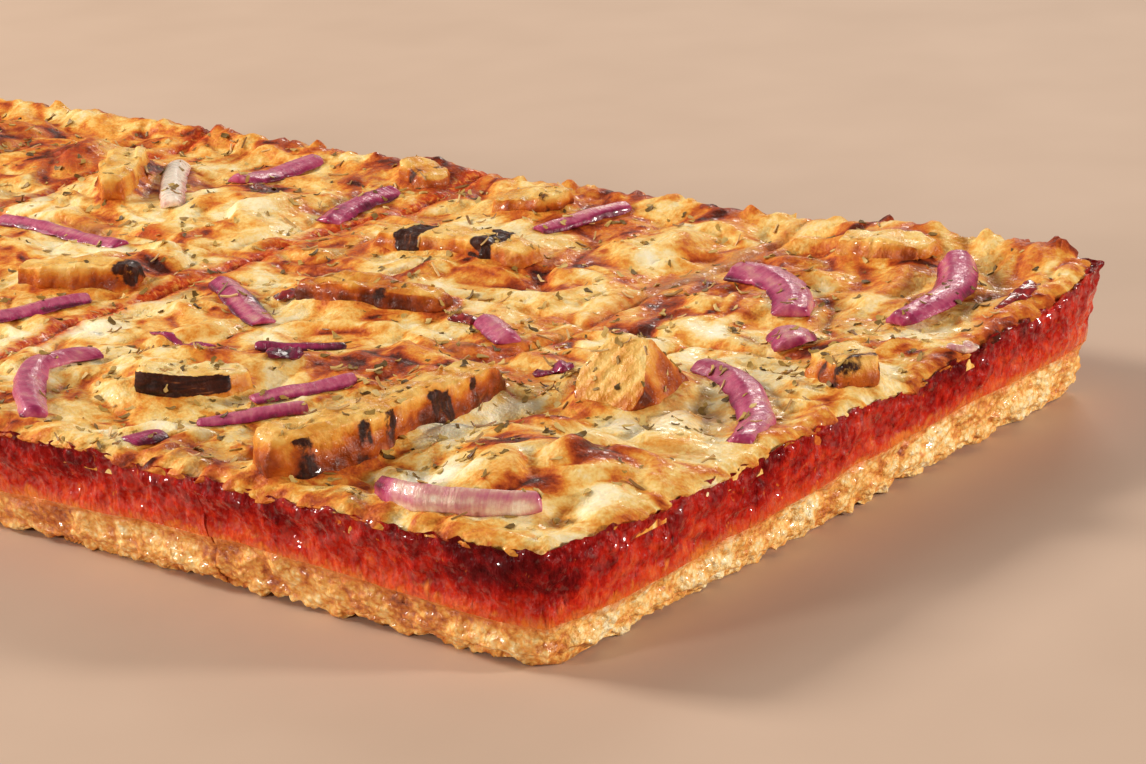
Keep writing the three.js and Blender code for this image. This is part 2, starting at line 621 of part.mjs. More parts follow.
function onionGeometry(strip) {
  const curve = smoothLine(strip.line);
  const stations = Math.max(3, Math.round(curve.getLength() / ONION_STEP));
  const roll = THREE.MathUtils.degToRad(strip.roll);
  const onEdge = strip.width * ONION_LIFT.onEdge * Math.sin(Math.abs(roll));
  const lift = onEdge + strip.thick * ONION_LIFT.flat * Math.cos(roll);
  const rings = [];
  for (let i = 0; i <= stations; i += 1) {
    const t = i / stations;
    const centre = curve.getPointAt(t);
    const way = curve.getTangentAt(t);
    const left = new THREE.Vector3(-way.y, way.x, 0);
    const levelAt = (side) => {
      const p = centre.clone().addScaledVector(left, side * ONION_SLOPE_REACH);
      return cheeseTop(p.x, p.y);
    };
    const angle = Math.atan2(levelAt(1) - levelAt(-1), 2 * ONION_SLOPE_REACH) + roll;
    const bulge = Math.sqrt(Math.sin(Math.PI * mix(ONION_TAPER.ends, 1 - ONION_TAPER.ends, t)));
    const size = mix(ONION_TAPER.least, 1, bulge);
    const base = levelAt(0) + lift;
    rings.push(ONION_SECTION.map(([across, up]) => {
      const a = across * strip.width * size;
      const b = up * strip.thick;
      const sideways = a * Math.cos(angle) - b * Math.sin(angle);
      const raise = a * Math.sin(angle) + b * Math.cos(angle);
      return [centre.x + left.x * sideways, centre.y + left.y * sideways, base + raise];
    }));
  }
  const triangles = [];
  const count = ONION_SECTION.length;
  for (let i = 0; i < stations; i += 1) {
    for (let k = 0; k < count; k += 1) {
      const next = (k + 1) % count;
      addQuad(triangles, rings[i][k], rings[i][next], rings[i + 1][next], rings[i + 1][k]);
    }
  }
  const flat = ONION_SECTION.map(([across, up]) => new THREE.Vector2(across * strip.width, up * strip.thick));
  addFill(triangles, rings[stations], flat);
  addFill(triangles, rings[0].slice().reverse(), flat.slice().reverse());
  return toGeometry(triangles);
}

// A herb flake: a thin leaf shape with six points round a raised and a lowered middle
function flakeGeometry(x, y, turn, size) {
  const length = FLAKE.length * size;
  const height = cheeseTop(x, y);
  const place = (along, across, rise) => {
    const px = x + along * Math.cos(turn) - across * Math.sin(turn);
    const py = y + along * Math.sin(turn) + across * Math.cos(turn);
    return [px, py, height + rise];
  };
  const loop = FLAKE_OUTLINE.map(([along, across], i) => (
    place(along * length, across * FLAKE.width, i % 2 ? FLAKE_CURL.up : FLAKE_CURL.down)));
  const top = place(0, 0, FLAKE.thick);
  const bottom = place(0, 0, -FLAKE.thick * 2);
  const triangles = [];
  loop.forEach((point, i) => {
    const next = loop[(i + 1) % loop.length];
    triangles.push([point, next, top], [next, point, bottom]);
  });
  return toGeometry(triangles);
}

// How far a point is from the nearest topping's edge
function clearOfToppings(x, y) {
  let nearest = Infinity;
  for (const piece of [...CHICKEN, ...ONION]) {
    for (let i = 0; i + 1 < piece.line.length; i += 1) {
      const start = new THREE.Vector2(...piece.line[i]);
      const way = new THREE.Vector2(...piece.line[i + 1]).sub(start);
      const to = new THREE.Vector2(x, y).sub(start);
      const t = THREE.MathUtils.clamp(to.dot(way) / way.lengthSq(), 0, 1);
      nearest = Math.min(nearest, to.sub(way.multiplyScalar(t)).length() - piece.width / 2);
    }
  }
  return nearest;
}

// Spots for the flakes of a slice, each the best of some draws, so that they spread evenly
function flakeSpots(column, isBack, count, random) {
  const [front, back] = rowEdges(isBack, FLAKE_MARGIN, FLAKE_MARGIN);
  const spots = [];
  while (spots.length < count) {
    let best = null;
    for (let i = 0; i < FLAKE_DRAWS; i += 1) {
      const y = mix(front, back, random());
      const [left, right] = columnEdges(column, y, FLAKE_MARGIN, FLAKE_MARGIN);
      const x = mix(left, right, random());
      const clear = clearOfToppings(x, y);
      const apart = Math.min(FLAKE_APART, ...spots.map((spot) => Math.hypot(spot.x - x, spot.y - y)));
      if (clear > FLAKE_CLEARANCE && (!best || apart > best.apart)) best = { x, y, apart };
    }
    if (best) spots.push(best);
  }
  return spots;
}

// The whole pizza
const pizza = new THREE.Group();
const materials = Object.fromEntries(Object.entries(COLOURS).map(([kind, color]) => (
  [kind, new THREE.MeshStandardMaterial({ color, roughness: ROUGHNESS[kind], metalness: 0 })]
)));

function addPiece(name, kind, geometry) {
  const mesh = new THREE.Mesh(geometry, materials[kind]);
  mesh.name = name;
  pizza.add(mesh);
}

const SEED = 20;
const random = seededRandom(SEED);
const cutters = new Map();
for (const isBack of [false, true]) {
  for (let column = 0; column < COLUMNS; column += 1) {
    const slice = `${isBack ? 'back' : 'front'}_${column + 1}`;
    addPiece(`crust_${slice}`, 'crust', layerSolid(column, isBack, crustLevels, 0, CRUST_MIDDLE));
    const sauceFoot = CRUST_MIDDLE + LAYER_GAP;
    addPiece(`sauce_${slice}`, 'sauce', layerSolid(column, isBack, sauceLevels, sauceFoot, SAUCE_FLOOR));
    let cheese = toSolid(cheeseGeometry(column, isBack));
    const count = isBack ? FLAKES_PER_SLICE.back : FLAKES_PER_SLICE.front;
    for (const spot of flakeSpots(column, isBack, count, random)) {
      const turn = random() * Math.PI;
      const flake = flakeGeometry(spot.x, spot.y, turn, mix(FLAKE.smallest, FLAKE.largest, random()));
      cheese = cheese.add(toSolid(flake));
    }
    addPiece(`cheese_${slice}`, 'cheese', largestPiece(cheese));
    cutters.set(slice, toSolid(cheeseGeometry(column, isBack, TOPPING_GAP)));
  }
}

// Each topping is cut to lie on the cheese of its own slice
function addTopping(name, kind, piece, geometry) {
  const [x, y] = piece.line[Math.floor(piece.line.length / 2)];
  const { column, isBack } = sliceAt(x, y);
  const cutter = cutters.get(`${isBack ? 'back' : 'front'}_${column + 1}`);
  addPiece(name, kind, largestPiece(toSolid(geometry).subtract(cutter)));
}

const twoDigits = (index) => String(index + 1).padStart(2, '0');
CHICKEN.forEach((piece, i) => {
  addTopping(`chicken_${twoDigits(i)}`, 'chicken', piece, chickenGeometry(piece, random));
});
ONION.forEach((strip, i) => {
  addTopping(`onion_${twoDigits(i)}`, 'onion', strip, onionGeometry(strip));
});

// The origin is under the middle of the whole pizza's box
pizza.updateMatrixWorld(true);
const box = new THREE.Box3().setFromObject(pizza, true);
pizza.position.set(-(box.min.x + box.max.x) / 2, -(box.min.y + box.max.y) / 2, -box.min.z);

export default pizza;
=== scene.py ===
"""The looks of a detroit-style barbecue chicken pizza in eight slices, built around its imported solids.

Lengths are millimetres in the solids' own frame, X along the pizza and Z up, until a piece is made.
"""

import itertools
import math
from functools import cache, reduce

import bpy
import numpy as np
from mathutils import Matrix, Vector
from mathutils.bvhtree import BVHTree


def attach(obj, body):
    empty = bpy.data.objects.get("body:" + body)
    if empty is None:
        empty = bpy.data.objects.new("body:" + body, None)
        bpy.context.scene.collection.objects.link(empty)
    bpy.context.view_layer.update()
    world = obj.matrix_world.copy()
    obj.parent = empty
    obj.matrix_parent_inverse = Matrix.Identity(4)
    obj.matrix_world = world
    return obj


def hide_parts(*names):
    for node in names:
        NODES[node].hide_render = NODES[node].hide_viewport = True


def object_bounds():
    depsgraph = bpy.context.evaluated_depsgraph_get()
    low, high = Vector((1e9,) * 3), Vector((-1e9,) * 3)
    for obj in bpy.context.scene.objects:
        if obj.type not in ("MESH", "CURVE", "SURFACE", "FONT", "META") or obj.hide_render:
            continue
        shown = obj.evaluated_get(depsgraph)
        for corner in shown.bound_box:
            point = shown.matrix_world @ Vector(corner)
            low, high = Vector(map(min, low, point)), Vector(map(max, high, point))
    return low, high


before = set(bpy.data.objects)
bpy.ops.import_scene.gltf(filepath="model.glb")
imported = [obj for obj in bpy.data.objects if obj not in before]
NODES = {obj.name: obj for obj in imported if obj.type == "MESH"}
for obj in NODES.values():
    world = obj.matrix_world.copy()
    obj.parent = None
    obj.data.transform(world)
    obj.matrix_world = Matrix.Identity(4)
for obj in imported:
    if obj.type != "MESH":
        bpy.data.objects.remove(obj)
cad_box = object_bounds()

MM = 0.001
SLICES = [f"{row}_{column}" for row in ("front", "back") for column in (1, 2, 3, 4)]
CHICKEN_NODES = sorted(name for name in NODES if name.startswith("chicken_"))
ONION_NODES = sorted(name for name in NODES if name.startswith("onion_"))

# Mesh detail
CHEESE_STEP = 0.82
WALL_DETAIL = 0.90
HIDDEN_DETAIL = 14.0
TOPPING_DETAIL = 1.1
RASTER_STEP = 0.8
RASTER_MARGIN = 8.0
SHARP_ANGLE = math.radians(62)

# The camera stands where the photograph was taken from
CAMERA_PLACE = (577.34, -559.96, 255.52)
CAMERA_HEADING = math.radians(39.403)
CAMERA_PITCH = math.radians(18.09)
CAMERA_ROLL = math.radians(-2.95)
CAMERA_LENS = 105.06
SENSOR_WIDTH = 36.0


# Noise: what brings it to about -1 to 1, and how much smaller and weaker each finer layer is
NOISE_SCALE = 1.9
FINER = 0.48
WEAKER = 0.5


def hashed(cells, seed):
    """A repeatable value from 0 to 1 for each whole-numbered cell."""
    x, y, z = (cells[..., axis].astype(np.int64) for axis in range(3))
    mixed = (x * 374761393 + y * 668265263 + z * 1440662683 + seed * 1013904223) & 0xFFFFFFFF
    mixed = ((mixed ^ (mixed >> 13)) * 1274126177) & 0xFFFFFFFF
    return ((mixed ^ (mixed >> 16)) & 0xFFFFFF) / 0xFFFFFF


def waves(points, size, seed):
    """Smooth noise from about -1 to 1 whose features measure about the given size."""
    scaled = points / size + 0.37 * seed
    base = np.floor(scaled)
    part = scaled - base
    ease = part ** 3 * (part * (part * 6 - 15) + 10)
    total = np.zeros(len(points))
    for corner in itertools.product((0, 1), repeat=3):
        corner = np.array(corner)
        weight = np.prod(np.where(corner == 1, ease, 1 - ease), axis=1)
        cell = base + corner
        slope = np.stack([hashed(cell, seed + axis) * 2 - 1 for axis in range(3)], axis=1)
        total += weight * np.sum(slope * (part - corner), axis=1)
    return total * NOISE_SCALE


def fractal(points, size, seed, octaves=3):
    """Waves with finer and weaker waves on them."""
    total = np.zeros(len(points))
    strength = 1.0
    for octave in range(octaves):
        total += strength * waves(points[:, [1, 2, 0]] if octave % 2 else points, size, seed + 11 * octave)
        size *= FINER
        strength *= WEAKER
    return total


def lumps(points, size, seed):
    """The distance to the nearest of scattered points, in lump sizes, and that point's own number."""
    scaled = points / size
    base = np.floor(scaled)
    nearest = np.full(len(points), 9.0)
    tag = np.zeros(len(points))
    for offset in itertools.product((-1, 0, 1), repeat=3):
        cell = base + np.array(offset)
        centre = cell + np.stack([hashed(cell, seed + axis) for axis in range(3)], axis=1)
        distance = np.linalg.norm(centre - scaled, axis=1)
        closer = distance < nearest
        tag = np.where(closer, hashed(cell, seed + 9), tag)
        nearest = np.where(closer, distance, nearest)
    return nearest, tag


def ramp(values, low, high):
    """Rises smoothly from 0 to 1 between two values, and falls where low is above high."""
    share = np.clip((values - low) / (high - low), 0, 1)
    return share * share * (3 - 2 * share)


def bell(distance, reach):
    return np.exp(-(distance / reach) ** 2)


def fade(distance, reach):
    """Falls evenly from 1 to 0 over the reach."""
    return np.clip(1 - distance / reach, 0, 1)


def unit(vectors):
    """Each row scaled to length one, while a row of zeros stays."""
    return vectors / np.maximum(np.linalg.norm(vectors, axis=1), 1e-9)[:, None]


def mesh_arrays(mesh):
    """The points, in millimetres, and the triangles of a mesh."""
    mesh.calc_loop_triangles()
    places = np.empty(len(mesh.vertices) * 3)
    mesh.vertices.foreach_get("co", places)
    corners = np.empty(len(mesh.loop_triangles) * 3, np.int32)
    mesh.loop_triangles.foreach_get("vertices", corners)
    return places.reshape(-1, 3) / MM, corners.reshape(-1, 3)


def node_arrays(name):
    """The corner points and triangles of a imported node, with points that coincide joined."""
    places, corners = mesh_arrays(NODES[name].data)
    points, joined = np.unique(np.round(places, 3), axis=0, return_inverse=True)
    triangles = joined.reshape(-1)[corners]
    distinct = (triangles != np.roll(triangles, 1, axis=1)).all(axis=1)
    return points, triangles[distinct]


def edge_list(triangles, count):
    """The edges of the triangles, and for each triangle the numbers of its three edges."""
    sides = triangles[:, [[0, 1], [1, 2], [2, 0]]]
    keys = sides.min(axis=2).astype(np.int64) * count + sides.max(axis=2)
    unique, numbers = np.unique(keys.reshape(-1), return_inverse=True)
    return np.stack([unique // count, unique % count], axis=1), numbers.reshape(-1, 3)


# The most times that edges are split, and the share of its way to its neighbours that a point moves at a time
MOST_SPLITS = 12
EVENING = 0.6


def refined(points, triangles, longest):
    """Splits edges until each is under longest(its middle)."""
    for _ in range(MOST_SPLITS):
        edges, numbers = edge_list(triangles, len(points))
        middle = points[edges].mean(axis=1)
        length = np.linalg.norm(points[edges[:, 0]] - points[edges[:, 1]], axis=1)
        split = length > longest(middle)
        if not split.any():
            break
        added = np.full(len(edges), -1)
        added[split] = len(points) + np.arange(split.sum())
        points = np.vstack([points, middle[split]])
        halves = added[numbers]
        count = (halves >= 0).sum(axis=1)
        a, b, c = triangles[count == 3].T
        ab, bc, ca = halves[count == 3].T
        kept = [triangles[count == 0].T, (a, ab, ca), (ab, b, bc), (ca, bc, c), (ab, bc, ca)]
        for turn in range(3):
            spin = [turn, (turn + 1) % 3, (turn + 2) % 3]
            single = (count == 1) & (halves[:, turn] >= 0)
            a, b, c = triangles[single][:, spin].T
            ab = halves[single][:, turn]
            kept += [(a, ab, c), (ab, b, c)]
            double = (count == 2) & (halves[:, spin[2]] < 0)
            a, b, c = triangles[double][:, spin].T
            ab, bc = halves[double][:, spin[:2]].T
            one, other = points[a] - points[bc], points[ab] - points[c]
            shorter = np.linalg.norm(one, axis=1) < np.linalg.norm(other, axis=1)
            kept += [(ab, b, bc), (a, ab, np.where(shorter, bc, c)), (np.where(shorter, a, ab), bc, c)]
        triangles = np.hstack(kept).T
    return points, triangles


def smoothed(points, triangles, rounds, weight=1.0):
    """Moves each point towards the mean of its neighbours a number of times."""
    edges, _ = edge_list(triangles, len(points))
    ends, others = np.vstack([edges, edges[:, ::-1]]).T
    count = np.bincount(ends, minlength=len(points))[:, None]
    weight = np.broadcast_to(weight, len(points))[:, None]
    for _ in range(rounds):
        total = [np.bincount(ends, points[others, axis], minlength=len(points)) for axis in range(3)]
        points = points + weight * EVENING * (np.stack(total, axis=1) / count - points)
    return points


def normals(points, triangles):
    a, b, c = (points[triangles[:, corner]] for corner in range(3))
    across = np.cross(b - a, c - a)
    total = np.zeros_like(points)
    for axis in range(3):
        for corner in range(3):
            total[:, axis] += np.bincount(triangles[:, corner], across[:, axis], minlength=len(points))
    return unit(total)


def ring_walls(rings):
    """The triangles between rings of points, given as rows of point numbers."""
    a, d = rings[:-1], rings[1:]
    b, c = np.roll(a, -1, axis=1), np.roll(d, -1, axis=1)
    return np.vstack([np.stack(three, axis=-1).reshape(-1, 3) for three in ((a, d, c), (a, c, b))])


def ring_end(ring, tip):
    """The triangles from the last ring, or the reversed first one, to the point at its tip."""
    return np.stack([np.roll(ring, -1), ring, np.full(len(ring), tip)], axis=1)


def placed(name, data):
    """A new object in the scene."""
    made = bpy.data.objects.new(name, data)
    bpy.context.scene.collection.objects.link(made)
    return made


def piece(name, points, triangles, material, replaces=(), looks=None):
    """Makes a mesh object from arrays that rides on the body and stands for the given nodes."""
    mesh = bpy.data.meshes.new(name)
    mesh.vertices.add(len(points))
    mesh.vertices.foreach_set("co", (points * MM).astype(np.float32).reshape(-1))
    mesh.loops.add(triangles.size)
    mesh.loops.foreach_set("vertex_index", triangles.astype(np.int32).reshape(-1))
    mesh.polygons.add(len(triangles))
    mesh.polygons.foreach_set("loop_start", np.arange(0, triangles.size, 3, dtype=np.int32))
    mesh.polygons.foreach_set("use_smooth", np.ones(len(triangles), bool))
    for key, values in (looks or {}).items():
        kind, field = ("FLOAT", "value") if values.ndim == 1 else ("FLOAT_VECTOR", "vector")
        layer = mesh.attributes.new(key, kind, "POINT")
        layer.data.foreach_set(field, values.astype(np.float32).reshape(-1))
    mesh.update(calc_edges=True)
    mesh.set_sharp_from_angle(angle=SHARP_ANGLE)
    mesh.materials.append(material)
    made = placed(name, mesh)
    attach(made, "root")
    if replaces:
        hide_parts(*replaces)
    return made


def layer_piece(look, layer, part, points, triangles, material, looks):
    """The piece for one layer of a slice, such as melted_cheese_front_1."""
    return piece(f"{look}_{layer}_{part}", points, triangles, material, [f"{layer}_{part}"], looks)


def tree_of(arrays):
    """A search tree over one or more sets of points and triangles."""
    points, triangles, base = [], [], 0
    for some_points, some_triangles in arrays:
        points.append(some_points)
        triangles.append(some_triangles + base)
        base += len(some_points)
    return BVHTree.FromPolygons(np.vstack(points).tolist(), np.vstack(triangles).tolist())


# Rays that look down on the pizza start at this height
SKY = 80.0
DOWN = Vector((0, 0, -1))


def cast_down(tree, x, y):
    """The place and the normal where a ray straight down meets a tree's triangles."""
    return tree.ray_cast(Vector((x, y, SKY)), DOWN)[:2]


class Field:
    """Heights or shares on an even grid over the pizza seen from above."""

    low = np.array(cad_box[0][:2]) / MM - RASTER_MARGIN
    high = np.array(cad_box[1][:2]) / MM + RASTER_MARGIN
    shape = tuple(np.ceil((high - low) / RASTER_STEP).astype(int) + 1)
    xs = low[0] + RASTER_STEP * np.arange(shape[0])
    ys = low[1] + RASTER_STEP * np.arange(shape[1])

    def __init__(self, values):
        self.values = values

    @classmethod
    def seen(cls, tree):
        """The heights seen from above, with nothing in the cells where there is nothing."""
        values = np.full(cls.shape, np.nan)
        for i, x in enumerate(cls.xs):
            for j, y in enumerate(cls.ys):
                place, _ = cast_down(tree, x, y)
                if place is not None:
                    values[i, j] = place.z
        return cls(values)

    def blurred(self, reach):
        """The values averaged over a round reach, where empty cells count as nothing."""
        there = ~np.isnan(self.values)
        spectrum = np.exp(-2 * (math.pi * reach / RASTER_STEP) ** 2 * (
            np.fft.fftfreq(self.shape[0])[:, None] ** 2 + np.fft.rfftfreq(self.shape[1])[None, :] ** 2))
        soft = [np.fft.irfft2(np.fft.rfft2(v) * spectrum, self.shape)
                for v in (np.where(there, self.values, 0), there.astype(float))]
        return Field(soft[0] / np.maximum(soft[1], 1e-4))

    def share_blurred(self, reach):
        """How much of the round reach about each cell isn't empty, from 0 to 1."""
        return Field((~np.isnan(self.values)).astype(float)).blurred(reach)

    def at(self, x, y):
        i = np.clip((x - self.low[0]) / RASTER_STEP, 0, self.shape[0] - 1.001)
        j = np.clip((y - self.low[1]) / RASTER_STEP, 0, self.shape[1] - 1.001)
        i0, j0 = i.astype(int), j.astype(int)
        u, v = i - i0, j - j0
        at = self.values
        near = at[i0, j0] * (1 - v) + at[i0, j0 + 1] * v
        far = at[i0 + 1, j0] * (1 - v) + at[i0 + 1, j0 + 1] * v
        return near * (1 - u) + far * u


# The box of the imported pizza
BOX_MIDDLE = (np.array(cad_box[0]) + np.array(cad_box[1])) / 2 / MM
BOX_HALF = (np.array(cad_box[1]) - np.array(cad_box[0])) / 2 / MM


def side_gaps(x, y):
    """How far places are inside the box's front, right, back and left sides."""
    x, y = x - BOX_MIDDLE[0], y - BOX_MIDDLE[1]
    return np.stack([y + BOX_HALF[1], BOX_HALF[0] - x, BOX_HALF[1] - y, x + BOX_HALF[0]])


def box_gap(x, y):
    """How far places are inside the box's nearest side."""
    return side_gaps(x, y).min(axis=0)


# The pizza seen from above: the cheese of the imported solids, and where toppings lie on it
cheese_solids = [node_arrays(f"cheese_{part}") for part in SLICES]
topping_solids = {name: node_arrays(name) for name in CHICKEN_NODES + ONION_NODES}
cheese_seen = Field.seen(tree_of(cheese_solids))
chicken_seen = Field.seen(tree_of(topping_solids[name] for name in CHICKEN_NODES))
onion_seen = Field.seen(tree_of(topping_solids[name] for name in ONION_NODES))

# The outer edge is this wide, and this reach and share find the places beside a cut
OUTER_EDGE = 7.0
CUT_REACH = 3.2
CUT_SHARE = 0.02

# Beside a cut the height comes from this far off
CARRY_REACH = 5.0


def without_cuts(seen):
    """The heights with those beside a cut taken from further off, so that the cheese carries on over it."""
    x, y = np.meshgrid(Field.xs, Field.ys, indexing="ij")
    inside = box_gap(x, y) > OUTER_EDGE
    beside = Field((np.isnan(seen.values) & inside).astype(float)).blurred(CUT_REACH)
    at_cut = beside.values > CUT_SHARE
    level = Field(np.where(at_cut, np.nan, seen.values)).blurred(CARRY_REACH)
    return Field(np.where(at_cut, level.values, seen.values))


cheese_form = without_cuts(cheese_seen).blurred(2.0)
cheese_wide = cheese_seen.blurred(9.0)
chicken_near = chicken_seen.share_blurred(1.5)
chicken_wide = chicken_seen.share_blurred(3.4)
onion_near = onion_seen.share_blurred(1.2)
onion_wide = onion_seen.share_blurred(2.6)
chicken_rise = Field(np.nan_to_num(np.clip(chicken_seen.values - cheese_form.values, 0, None))).blurred(3.6)

# The cheese has banked up behind the chicken by this share of its height, this far over in X and Y
BANKED = 0.62
BANK_SHIFT = (3.0, -3.8)

# Where it hasn't: x, y, reach along, reach across, turn in degrees, share
UNBANKED = [(151, -24, 16, 15, 0, 0.85)]

# Folds of cheese that stand up on their own: x, y, reach along, reach across, turn in degrees, height in mm
HUMPS = [(57, -55, 9, 4, 35, 3.2), (150, -48, 6, 4, 60, 1.2), (-30, 12, 10, 4, 20, 1.4)]

# Browned, sauced and pale places of the cheese, where pale places on lit mound slopes at the front right,
# such as (150, -84), are painted highlight: x, y, reach along, reach across, turn in degrees, strength
TOASTED = [
    (158, -64, 10, 6, 20, 0.26), (176, -63, 8, 6, 30, 0.34), (177, -50, 9, 7, 60, 0.30),
    (145, -57, 9, 7, 0, 0.16), (120, 79, 12, 7, 10, 0.34), (122, 52, 10, 7, -20, 0.34),
    (82, 56, 11, 5, 0, 0.34), (53, 79, 9, 5, 10, 0.30), (-115, 64, 16, 9, -35, 0.50),
    (6, 91, 7, 9, 0, 0.45), (-21, 100, 8, 5, 0, 0.40), (22, 23, 12, 7, 10, 0.30),
    (37, 54, 7, 4, 0, 0.30), (114, -7, 7, 5, 30, 0.32), (105, -8, 6, 5, 0, 0.30),
    (86, -23, 9, 5, 10, 0.24), (-39, 21, 7, 5, 0, 0.42), (-14, -3, 10, 4, 35, 0.34),
    (60, -92, 9, 6, 0, 0.24), (93, -12, 8, 5, 20, 0.30), (170, 30, 7, 5, 20, 0.24),
    (195, 18, 5, 4, 0, 0.20), (137, -94, 8, 4, -10, 0.24), (-60, -30, 10, 7, 20, 0.34),
    (-150, 10, 12, 8, 50, 0.36), (-90, -50, 9, 6, 0, 0.34), (-165, -75, 10, 7, 30, 0.30),
    (-140, 88, 10, 6, 0, 0.34), (-60, 88, 9, 5, 0, 0.30), (20, -62, 9, 6, 15, 0.28),
    (-20, -72, 10, 6, 40, 0.30), (160, 70, 8, 6, 0, 0.22),
]
SAUCED = [
    (-115, 62, 9, 5, -35, 0.55), (-39, 21, 4, 2.5, 0, 0.7), (80, 6, 4, 2.5, 30, 0.6),
    (70, -27, 4, 2, 20, 0.5), (176, -60, 8, 5, 60, 0.30), (6, 95, 4, 5, 0, 0.4),
    (-21, 103, 6, 3, 0, 0.4), (-150, 12, 5, 3, 50, 0.4), (-58, -31, 5, 3, 20, 0.4),
    (140, 99, 9, 2.5, 0, 0.35), (190, 60, 3, 9, 0, 0.3),
]
CREAM_AND_HIGHLIGHT = [
    (136, 27, 13, 8, 0, 0.30), (128, -44, 11, 9, 20, 0.34), (150, -84, 12, 8, 10, 0.40),
    (188, -78, 8, 8, 0, 0.30), (178, -33, 9, 12, 0, 0.26), (133, -62, 9, 7, 0, 0.26),
    (140, -8, 9, 6, 0, 0.24), (160, -96, 14, 4, 0, 0.22), (192, 16, 10, 8, 0, 0.34),
    (80, -92, 10, 5, 0, 0.16), (38, 71, 16, 6, 0, 0.26), (93, 64, 8, 6, 0, 0.30),
    (50, -60, 13, 7, 10, 0.26), (8, -45, 12, 7, 0, 0.26), (165, -38, 9, 7, 0, 0.30),
    (185, 45, 9, 9, 0, 0.18), (-70, 82, 14, 8, 0, 0.22), (-28, 40, 14, 8, 20, 0.26),
    (-85, 25, 14, 8, 0, 0.22), (-110, -10, 14, 9, 0, 0.18), (-160, 40, 12, 9, 0, 0.16),
    (-130, -85, 12, 8, 0, 0.16), (-60, -55, 12, 8, 0, 0.16), (-175, -55, 9, 9, 0, 0.14),
]

# Thin grey-brown see-through places
SHEER = [
    (171, -23, 9, 5, 10, 0.9), (163, -33, 5, 3, 40, 0.5), (108, 66, 3.5, 26, 0, 0.8),
    (96, -12, 4, 3, 0, 0.5), (184, -46, 5, 3, 60, 0.4), (-60, 20, 7, 4, 30, 0.5),
    (-100, -40, 8, 4, -30, 0.5),
]


def spotted(x, y, spots):
    """The strength of a list of oval spots at each place."""
    total = np.zeros(len(x))
    for at_x, at_y, along, across, turn, strength in spots:
        angle = math.radians(turn)
        dx, dy = x - at_x, y - at_y
        a = (dx * math.cos(angle) + dy * math.sin(angle)) / along
        b = (dy * math.cos(angle) - dx * math.sin(angle)) / across
        total += strength * np.exp(-(a * a + b * b))
    return total


# How far round the box's outline each side starts, from the front left corner, and the whole way round
LENGTH, DEPTH = 2 * BOX_HALF[:2]
SIDE_STARTS = np.array([0, LENGTH, LENGTH + DEPTH, 2 * LENGTH + DEPTH])
ROUND = 2 * (LENGTH + DEPTH)


def round_place(x, y):
    """How far round the outside the place nearest to (x, y) is."""
    gaps = side_gaps(x, y)
    places = SIDE_STARTS[:, None] + np.roll(gaps, 1, axis=0)
    return np.take_along_axis(places, gaps.argmin(axis=0)[None], axis=0)[0] % ROUND


# How closely the heights of the outer walls are read off, and how far inside the box they are looked for
PROFILE_STEP = 4.0
PROFILE_BAND = 6.2

# The crust's and the sauce's walls are looked for above these heights
CRUST_LEVEL = 6.0
SAUCE_LEVEL = 24.0


def wall_profile(prefix, lowest):
    """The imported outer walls' highest points, as places round the outside and heights."""
    places, heights = [], []
    for part in SLICES:
        points, _ = node_arrays(f"{prefix}_{part}")
        edge = (box_gap(*points[:, :2].T) < PROFILE_BAND) & (points[:, 2] > lowest)
        places.append(round_place(points[edge, 0], points[edge, 1]))
        heights.append(points[edge, 2])
    bins = (np.concatenate(places) / PROFILE_STEP).astype(int)
    heights = np.concatenate(heights)
    found = np.unique(bins)
    return (found + 0.5) * PROFILE_STEP, np.array([heights[bins == one].max() for one in found])


crust_edge = wall_profile("crust", CRUST_LEVEL)
rim_edge = wall_profile("sauce", SAUCE_LEVEL)


def along_profile(profile, places):
    return np.interp(places, *profile, period=ROUND)


def wall_direction(x, y):
    """The level direction along the nearest outer wall, the way that round_place grows."""
    ways = np.array([(1, 0, 0), (0, 1, 0), (-1, 0, 0), (0, -1, 0)], float)
    return ways[side_gaps(x, y).argmin(axis=0)]


def wall_ends(places, on_wall):
    """How far each place is from the nearer end of its slice's outer wall, and the way to that end."""
    turned = (places - places[on_wall][0] + ROUND / 2) % ROUND
    before, after = turned - turned[on_wall].min(), turned[on_wall].max() - turned
    return np.clip(np.minimum(before, after), 0, None), np.where(before < after, -1.0, 1.0)


# The outer walls lean out by this much between the underside and the rim
WALL_LEAN = 7.0
RIM_TOP = 28.3
CORNER_RADIUS = 14.0


def outside_gap(points):
    """How far each point is inside the leaning, round-cornered outer walls."""
    lean = WALL_LEAN * fade(points[:, 2], RIM_TOP)
    beyond = np.abs(points[:, :2] - BOX_MIDDLE[:2]) - (BOX_HALF[:2] - CORNER_RADIUS)
    rounded = np.linalg.norm(np.clip(beyond, 0, None), axis=1) + np.clip(beyond.max(axis=1), None, 0)
    return CORNER_RADIUS - rounded - lean


def wall_outward(points):
    """The level direction straight out of the nearest outer wall."""
    step = 0.5
    slopes = [outside_gap(points - way) - outside_gap(points + way) for way in np.eye(3)[:2] * step]
    return unit(np.column_stack([*slopes, np.zeros(len(points))]))


# Cheese: the level at which a slice's outline is read, the level of its underside, and rows in its side
CHEESE_WALL_LEVEL = 22.9
CHEESE_FLOOR = 22.4
SKIRT_ROWS = 3

# How far the cheese of two slices runs into the cut between them
CUT_CLOSING = 1.0

# How far the line of a cut wanders from side to side
CUT_WANDER = 0.8

# The number of the cut between the rows, and how far apart two cuts lie in the noise
ROW_CUT = 7
CUT_APART = 40.0

# How deep a cut is where it is closed, and how much deeper where it is open
CUT_DEPTH = (0.5, 1.7)

# How far in the cheese is drawn outwards at the rim, and how softly one side goes over into the next
SPILL_REACH = 6.0
SIDE_BLEND = 3.0

# How far in the cheese rises to the rim
RIM_REACH = 15.0

